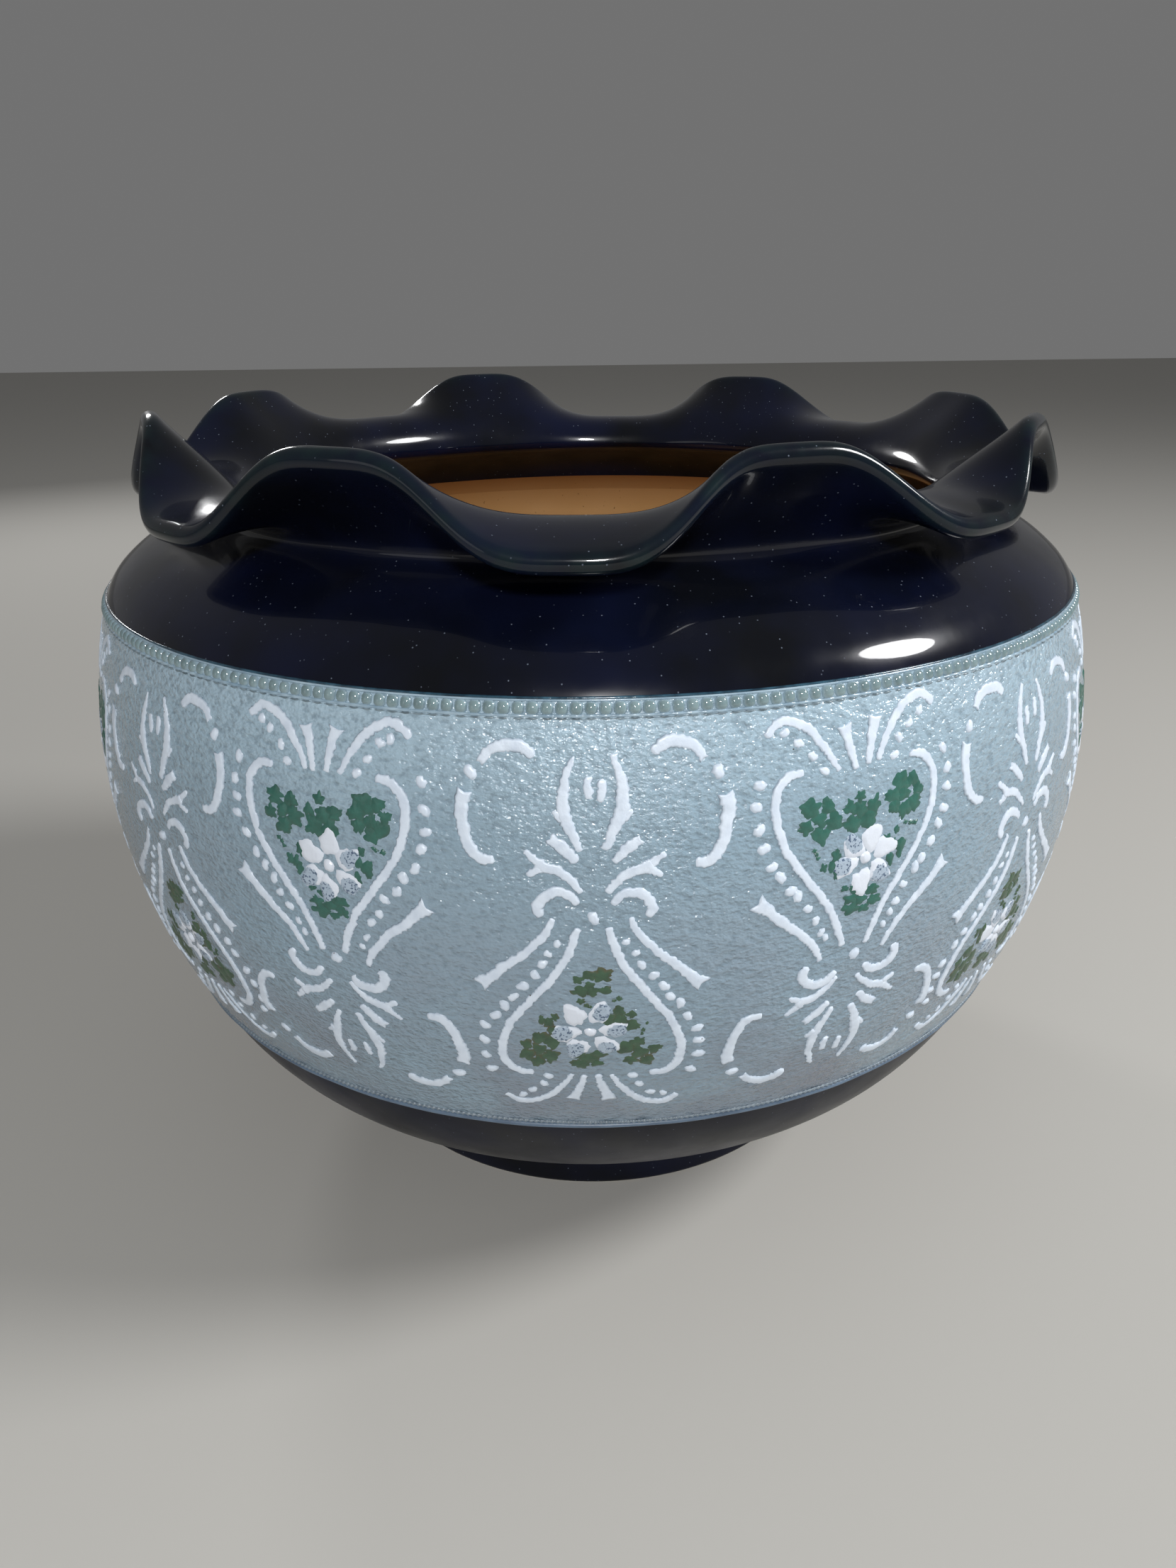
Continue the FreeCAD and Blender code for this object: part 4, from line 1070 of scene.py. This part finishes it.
# The least and most share of the stroke width that a line's height goes by, and to what power
WIDTH_COUNTS = (0.5, 1.1)
WIDTH_POWER = 0.6
# A section's offsets over its top, and with the two corners of its underside
TOP = np.linspace(-1, 1, 9)
MIDDLE = len(TOP) // 2
RING = np.concatenate([TOP, [0.8, -0.8]])


def trail(centre, copies, fork=None):
    """Points and edge marks of a trailed line of slip, once for every copy.

    centre holds across, along and width at each station. Over each station stands a flat
    arch: its height falls from the middle as the square root of one less the offset's fifth
    power. Both edges fray, the line drifts, and the underside is sunk in the ground. An end
    closes as a quarter circle unless it forks, and there the sides run ahead of the middle
    by a power of the offset, times a bell curve of the way from the end.
    """
    stations = len(centre)
    way = np.gradient(centre[:, :2], axis=0)
    way /= np.linalg.norm(way, axis=1, keepdims=True)
    side = np.stack([-way[:, 1], way[:, 0]], axis=1)
    order = np.arange(stations)
    ends = [order * STATION, order[::-1] * STATION]
    forked, depth = fork or (None, 0.0)
    round_ends = [ends[0] if forked != 0 else None, ends[1] if forked != -1 else None]
    blunt = np.ones(stations)
    for from_end in round_ends:
        if from_end is not None:
            near = np.clip(from_end / (END_CLOSES * centre[:, 2]), 0, 1)
            blunt *= np.sqrt(1 - (1 - near) ** 2)
    shape = (copies, stations)
    fray = FRAY * np.where(RING < 0, wobble(shape, 0)[..., None], wobble(shape, 0)[..., None])
    half = centre[:, 2] / 2 * blunt
    drift = wobble(shape, DRIFT_PASSES) * DRIFT
    offset = RING * (half[:, None] + fray * blunt[:, None]) + drift[..., None]
    ahead = np.zeros(RING.shape)
    if forked is not None:
        near = np.exp(-((ends[forked] / FORK_REACH) ** 2))
        pull = near * (1 if forked else -1) * depth
        parting = pull[:, None] * (np.abs(RING) ** FORK_POWER - 0.5)
        ahead = near[:, None] * (parting + FORK_FRAY * wobble(shape, 0)[..., None])
    across = centre[:, 0, None] + side[:, 0, None] * offset + way[:, 0, None] * ahead
    along = centre[:, 1, None] + side[:, 1, None] * offset + way[:, 1, None] * ahead
    arch = np.sqrt(np.clip(1 - np.abs(RING) ** ARCH_POWER, 0, 1))
    height = SLIP_HEIGHT * np.clip(centre[:, 2] / STROKE_WIDTH, *WIDTH_COUNTS) ** WIDTH_POWER * blunt
    piled = (1 + PILE_VARIES * wobble(shape, 2))[..., None]
    rise = arch * height[:, None] * piled - EDGE_SUNK * np.abs(RING)
    rise = np.where(np.arange(len(RING)) < len(TOP), rise, -UNDERSIDE_SUNK)
    edge = np.broadcast_to(np.abs(RING), rise.shape).copy()
    for last in (0, -1):
        across[:, last] = centre[last, 0]
        along[:, last] = centre[last, 1]
        rise[:, last] = -END_SUNK
    if forked is not None:
        beside = 1 if forked == 0 else -2
        rise[:, forked] = -FORK_END_SUNK
        across[:, forked] = across[:, beside, MIDDLE, None]
        along[:, forked] = along[:, beside, MIDDLE, None]
    return across, along, rise, edge


def lines_of(name):
    """The lines of a stroke and of its prongs in millimetres, each with its fork or None."""
    knots = np.array(STROKE_SHARES[name]) * (HALF_PITCH, REACH, STROKE_WIDTH)
    lines = [(smooth_line(knots, STATION), FORKS.get(name))]
    for root, tip, root_width, tip_width in PRONGS.get(name, []):
        middle = (np.array(root) + tip) / 2
        points = [(*root, root_width), (*middle, (root_width + tip_width) / 2), (*tip, tip_width)]
        lines.append((smooth_line(points, STATION), None))
    return lines


# How far a stroke lies out of its place, in millimetres, and how much its width varies
STROKE_STRAY = 0.3
WIDTH_VARIES = 0.06


def strokes(name):
    """All of one kind of stroke on the pot as one piece.

    Each motif's stroke, and the same in a mirror, is shifted a little and widened about its
    middle line.
    """
    all_points, all_faces, all_edges, count = [], [], [], 0
    for mirror in (1, -1):
        shift = hand.normal(size=(MOTIFS, 2, 1, 1)) * STROKE_STRAY
        width = 1 + hand.normal(size=(MOTIFS, 1, 1)) * WIDTH_VARIES
        for centre, fork in lines_of(name):
            centre = centre * (mirror, 1, 1)
            across, along, rise, edge = trail(centre, MOTIFS, fork)
            middle_across, middle_along = centre[:, 0, None], centre[:, 1, None]
            across = middle_across + (across - middle_across) * width + shift[:, 0]
            along = middle_along + (along - middle_along) * width + shift[:, 1]
            points = lay(across, along, rise, MOTIF_TURNS)
            each = points.shape[1] * points.shape[2]
            faces = tiled(quads(points.shape[1], points.shape[2], False, True), MOTIFS, each)
            all_points.append(points.reshape(-1, 3))
            all_faces.append(faces + count)
            all_edges.append(edge.reshape(-1))
            count += MOTIFS * each
    make_piece(
        "slip_" + name, np.concatenate(all_points), np.concatenate(all_faces), [white_slip],
        (name,), None, {"edge": np.concatenate(all_edges)},
    )


for stroke_name in STROKE_SHARES:
    strokes(stroke_name)


# Drops of slip

# Each row is a place in shares, and the size as a share of the dot radius
DOT_RADIUS = 1.22
DOT_HEIGHT = 0.36
DOT_SHARES = {
    "knot_dots": [(0.0, 0.0, 1.1)],
    "heart_dots": [
        (0.255, -0.1, 0.7), (0.31, -0.15, 0.75), (0.37, -0.2, 0.85), (0.435, -0.25, 0.9),
        (0.51, -0.3, 1.0), (0.585, -0.35, 1.0), (0.66, -0.4, 1.0), (0.735, -0.46, 1.0),
        (0.8, -0.53, 1.0), (0.83, -0.6, 1.0), (0.83, -0.68, 1.0), (0.79, -0.76, 1.0),
    ],
    "fan_dots": [
        (0.31, -0.78, 0.85), (0.375, -0.84, 0.85), (0.47, -0.89, 0.85), (0.565, -0.92, 0.85),
    ],
    "scroll_dots": [(0.86, 0.53, 1.1)],
}
# The power that rounds an island's height off, and how deep its edge is sunk in millimetres
ISLAND_ROOT = 0.6
ISLAND_EDGE_SUNK = 0.12


def polar(places, half_sizes, height, turns, grid, lobes, lobe_depth, ragged, domed, stray):
    """Raised islands of slip or enamel: rings of points round each place, and their marks.

    grid is how many rings each island has and how many points are in one. An island's edge
    is an oval whose radius is times one, a cosine that goes lobes times round, and a ragged
    random part. Its height falls from the middle as a root of one less the share of the way
    out to the power domed. stray is how far a hand puts each out of place, in millimetres.
    """
    rings, sides = grid
    spin = np.arange(sides) * 2 * math.pi / sides
    copies, count = len(turns), len(places)
    phase = hand.uniform(0, 2 * math.pi, (copies, count, 1))
    wave = 1 + lobe_depth * np.cos(lobes[None, :, None] * spin + phase)
    random_edge = wobble((copies * count, sides), 0).reshape(copies, count, sides)
    outline = wave + ragged * random_edge
    share = np.linspace(0, 1, rings)[:, None]
    off = hand.normal(size=(copies, count, 2)) * stray
    reach_across = half_sizes[None, :, 0, None, None] * share * (np.cos(spin) * outline)[:, :, None, :]
    reach_along = half_sizes[None, :, 1, None, None] * share * (np.sin(spin) * outline)[:, :, None, :]
    across = places[None, :, 0, None, None] + reach_across + off[:, :, 0, None, None]
    along = places[None, :, 1, None, None] + reach_along + off[:, :, 1, None, None]
    up = np.clip(1 - share**domed, 0, 1) ** ISLAND_ROOT * height[None, :, None, None]
    rise = np.broadcast_to(up, across.shape) - ISLAND_EDGE_SUNK * (share == 1)
    return across, along, rise, np.broadcast_to(share, across.shape)


def island_faces(points):
    """Corner numbers of all islands' faces, for points by turn, place, ring and side."""
    copies, rings, sides = points.shape[0] * points.shape[1], points.shape[2], points.shape[3]
    return tiled(quads(rings, sides, False, True), copies, rings * sides)


def drops(name):
    """Drops of slip, in pairs except on the middle line: low islands, a little out of round."""
    rows = DOT_SHARES[name]
    table = np.array([(side * row[0], *row[1:]) for row in rows for side in ((1, -1) if row[0] else (1,))])
    radius = table[:, 2] * DOT_RADIUS
    across, along, rise, edge = polar(
        table[:, :2] * (HALF_PITCH, REACH), np.stack([radius, radius], axis=1), table[:, 2] * DOT_HEIGHT,
        MOTIF_TURNS, grid=(4, 14), lobes=np.full(len(table), 2), lobe_depth=0.16, ragged=0.1, domed=3.0,
        stray=0.3,
    )
    points = lay(across, along, rise, MOTIF_TURNS)
    make_piece(
        "slip_" + name, points, island_faces(points), [white_slip], (name,), None,
        {"edge": edge},
    )


for dot_name in DOT_SHARES:
    drops(dot_name)


# Leaves of enamel

# In millimetres from the knot: across, along, width, length and leaflets. The upright and
# the inverted hearts were filled differently
UPRIGHT_LEAVES = [
    (-0.5, -14.2, 8.0, 6.6, 6), (4.9, -17.8, 2.8, 2.6, 2), (-1.3, -19.0, 3.4, 3.2, 2),
    (-8.2, -23.8, 4.6, 6.6, 3), (5.4, -22.9, 7.2, 7.4, 5), (9.6, -25.6, 2.6, 3.4, 2),
    (-10.2, -31.4, 8.9, 10.4, 6), (8.9, -31.8, 8.8, 8.6, 5), (-0.4, -33.8, 8.6, 6.2, 4),
]
INVERTED_LEAVES = [
    (8.9, -29.9, 9.2, 8.8, 5), (0.0, -30.4, 8.9, 8.6, 5), (-10.0, -31.2, 9.4, 9.4, 7),
    (9.5, -23.6, 3.0, 3.0, 2), (6.2, -20.4, 5.0, 6.4, 3), (-7.4, -22.2, 5.6, 8.2, 4),
    (-11.3, -25.4, 3.2, 2.6, 2), (-0.8, -12.4, 9.0, 6.6, 6), (2.6, -15.2, 3.0, 2.6, 2),
]
LEAF_HEIGHT = 0.2
LEAFLET_RING_SHARE = 0.32
LEAFLET_SIZE_SHARE = 0.215
LEAFLET_SIZES_VARY = 0.14


def leaflets(rows):
    """Places and half sizes of the leaflets of each leaf.

    One is in its middle, and the rest are round it at even turns, at a share of the leaf's
    width and length.
    """
    places, halves = [], []
    for across, along, width, length, count in rows:
        spin = np.arange(count) * 2 * math.pi / count + hand.uniform(0, math.pi)
        size = np.array([width, length])
        ring_points = np.stack([np.cos(spin), np.sin(spin)], axis=1) * size * LEAFLET_RING_SHARE
        places.append(np.concatenate([[(0.0, 0.0)], ring_points]) + (across, along))
        varied = 1 + hand.normal(size=(count + 1, 1)) * LEAFLET_SIZES_VARY
        halves.append(size * LEAFLET_SIZE_SHARE * varied)
    return np.concatenate(places), np.concatenate(halves)


def leaf_sprays():
    """Leaves in every heart as one piece, olive in the upright and teal in the inverted ones.

    Each leaflet is a low flat island with three to five lobes.
    """
    all_points, all_faces, all_edges, finish, count = [], [], [], [], 0
    for number, rows in enumerate((UPRIGHT_LEAVES, INVERTED_LEAVES)):
        places, halves = leaflets(rows)
        turns = MOTIF_TURNS[number::2]
        height = LEAF_HEIGHT * hand.uniform(0.8, 1.2, len(places))
        lobes = hand.integers(3, 6, len(places))
        across, along, rise, edge = polar(
            places, halves, height, turns, grid=(3, 24), lobes=lobes, lobe_depth=0.17, ragged=0.11,
            domed=8.0, stray=0.22,
        )
        points = lay(across, along, rise, turns)
        faces = island_faces(points)
        all_points.append(points.reshape(-1, 3))
        all_faces.append(faces + count)
        all_edges.append(edge.reshape(-1))
        finish.append(np.full(len(faces), number))
        count += edge.size
    make_piece(
        "enamel_leaf_sprays", np.concatenate(all_points), np.concatenate(all_faces),
        [olive_leaf, teal_leaf], ("leaf_sprays",), np.concatenate(finish),
        {"edge": np.concatenate(all_edges)},
    )


leaf_sprays()


# Flowers of enamel

# Middle of the flower in an upright and in an inverted motif, in millimetres from the knot
FLOWER_PLACES = [(-0.4, -26.0), (-0.9, -20.8)]
PETALS = 6
PETAL_RING = 4.7
PETAL_SIZE = (4.5, 6.0)
PETAL_HEIGHT = 0.32
EYE_RADIUS = 1.3
EYE_HEIGHT = 0.5
# How far a petal strays out along its ring's radius in millimetres and round it in degrees
PETAL_STRAY = 0.35
PETAL_SWAY = 5
# The stain's place on a petal in millimetres, its reach as a share of the petal's size, how
# full it is in its middle, and the share of petals that have one
STAIN_PLACE = (0.4, 0.7)
STAIN_REACH = (0.4, 0.36)
STAIN_FULL = 1.4
STAINED_SHARE = 0.88


def flowers():
    """Six petals round an eye: each an angular oval island, turned about the flower's middle.

    The stain falls off from its place by the length of the way in shares of its reach.
    """
    middle = np.array([(0.0, 0.0)])
    homes = [
        turned("Z", math.degrees(across / BELT_RADIUS)) @ turned("X", -math.degrees(along / BELT_RADIUS))
        for across, along in FLOWER_PLACES
    ]
    eyes = np.stack([motif @ homes[number % 2] for number, motif in enumerate(MOTIF_TURNS)])
    turns = []
    for eye in eyes:
        start = hand.uniform(0, 360 / PETALS)
        for petal in range(PETALS):
            spin = start + 360 / PETALS * petal + hand.normal() * PETAL_SWAY
            out = turned("X", -math.degrees((PETAL_RING + hand.normal() * PETAL_STRAY) / BELT_RADIUS))
            turns.append(eye @ turned("Y", spin) @ out)
    turns = np.stack(turns)
    across, along, rise, edge = polar(
        middle, np.array([PETAL_SIZE]) / 2, np.array([PETAL_HEIGHT]), turns, grid=(5, 22),
        lobes=np.array([3]), lobe_depth=0.12, ragged=0.065, domed=5.0, stray=0.1,
    )
    away_across = (across - STAIN_PLACE[0]) / (PETAL_SIZE[0] * STAIN_REACH[0])
    away_along = (along - STAIN_PLACE[1]) / (PETAL_SIZE[1] * STAIN_REACH[1])
    stained = (hand.uniform(size=len(turns)) < STAINED_SHARE)[:, None, None, None]
    stain = np.clip(STAIN_FULL - np.hypot(away_across, away_along), 0, 1) * stained
    points = lay(across, along, rise, turns)
    make_piece(
        "enamel_flower_petals", points, island_faces(points), [petal_enamel],
        ("flower_petals",), None, {"edge": edge, "stain": stain},
    )
    across, along, rise, edge = polar(
        middle, np.array([(EYE_RADIUS, EYE_RADIUS)]), np.array([EYE_HEIGHT]), eyes, grid=(4, 14),
        lobes=np.array([2]), lobe_depth=0.06, ragged=0.06, domed=2.6, stray=0.1,
    )
    points = lay(across, along, rise, eyes)
    plain = np.zeros(edge.shape)
    make_piece(
        "enamel_flower_eyes", points, island_faces(points), [petal_enamel],
        ("flower_eyes",), None, {"edge": plain, "stain": plain},
    )


flowers()


# Floor, light and camera

POT_MIDDLE = (0.0, 0.0, 0.1)
FLOOR_HALF = 4.0
# Name, place and width in metres, and power in watts
LAMPS = [
    ("key", (1.1, -0.2, 0.95), 0.4, 14.5),
    ("fill", (-0.9, -0.9, 0.25), 0.55, 0.6),
    ("front", (0.04, -0.95, 0.62), 0.12, 6.1),
    ("back", (-0.6, 1.0, 0.6), 0.22, 2.6),
]


def make_floor():
    """A plain pale floor under the pot, in matt paint."""
    mesh = bpy.data.meshes.new("floor")
    corners = [(x * FLOOR_HALF, y * FLOOR_HALF, 0) for x, y in ((-1, -1), (1, -1), (1, 1), (-1, 1))]
    mesh.from_pydata(corners, [], [(0, 1, 2, 3)])
    paint, shader = new_material("pale_matt_floor")
    feed(shader, {"Base Color": "#b9b7b2", "Roughness": 0.9, "IOR": 1.4})
    mesh.materials.append(paint)
    floor = bpy.data.objects.new("floor", mesh)
    bpy.context.scene.collection.objects.link(floor)


def round_lamp(name, place, width, power):
    """A round soft lamp at a place, facing the pot's middle."""
    lamp = bpy.data.lights.new(name, "AREA")
    lamp.shape = "DISK"
    lamp.size = width
    lamp.energy = power
    stand = bpy.data.objects.new(name, lamp)
    facing = (Vector(POT_MIDDLE) - Vector(place)).to_track_quat("-Z", "Y").to_matrix().to_4x4()
    stand.matrix_world = Matrix.Translation(place) @ facing
    bpy.context.scene.collection.objects.link(stand)


make_floor()
for lamp_row in LAMPS:
    round_lamp(*lamp_row)

world = bpy.data.worlds.new("studio")
bpy.context.scene.world = world
world.use_nodes = True
feed(world.node_tree.nodes["Background"], {"Color": "#e6e6e6", "Strength": 0.21})

# Where the photograph was taken from: metres, degrees, and the focal length in its pixels
CAMERA_PLACE = (0.0, -0.3036, 0.2144)
CAMERA_PITCH = 23.05
CAMERA_ROLL = 0.74
CAMERA_YAW = -0.21
SENSOR = 36.0
FOCAL_PIXELS = 1605.0
PHOTO_HEIGHT_PIXELS = 2212.0
camera_data = bpy.data.cameras.new("photo_view")
camera_data.sensor_width = SENSOR
camera_data.lens = SENSOR * FOCAL_PIXELS / PHOTO_HEIGHT_PIXELS
camera_data.clip_start = 0.01
camera = bpy.data.objects.new("photo_view", camera_data)
camera.matrix_world = (
    Matrix.Translation(CAMERA_PLACE)
    @ Matrix.Rotation(math.radians(-CAMERA_YAW), 4, "Z")
    @ Matrix.Rotation(math.radians(90 - CAMERA_PITCH), 4, "X")
    @ Matrix.Rotation(math.radians(-CAMERA_ROLL), 4, "Z")
)
bpy.context.scene.collection.objects.link(camera)
bpy.context.scene.camera = camera
bpy.context.scene.view_settings.view_transform = "Standard"
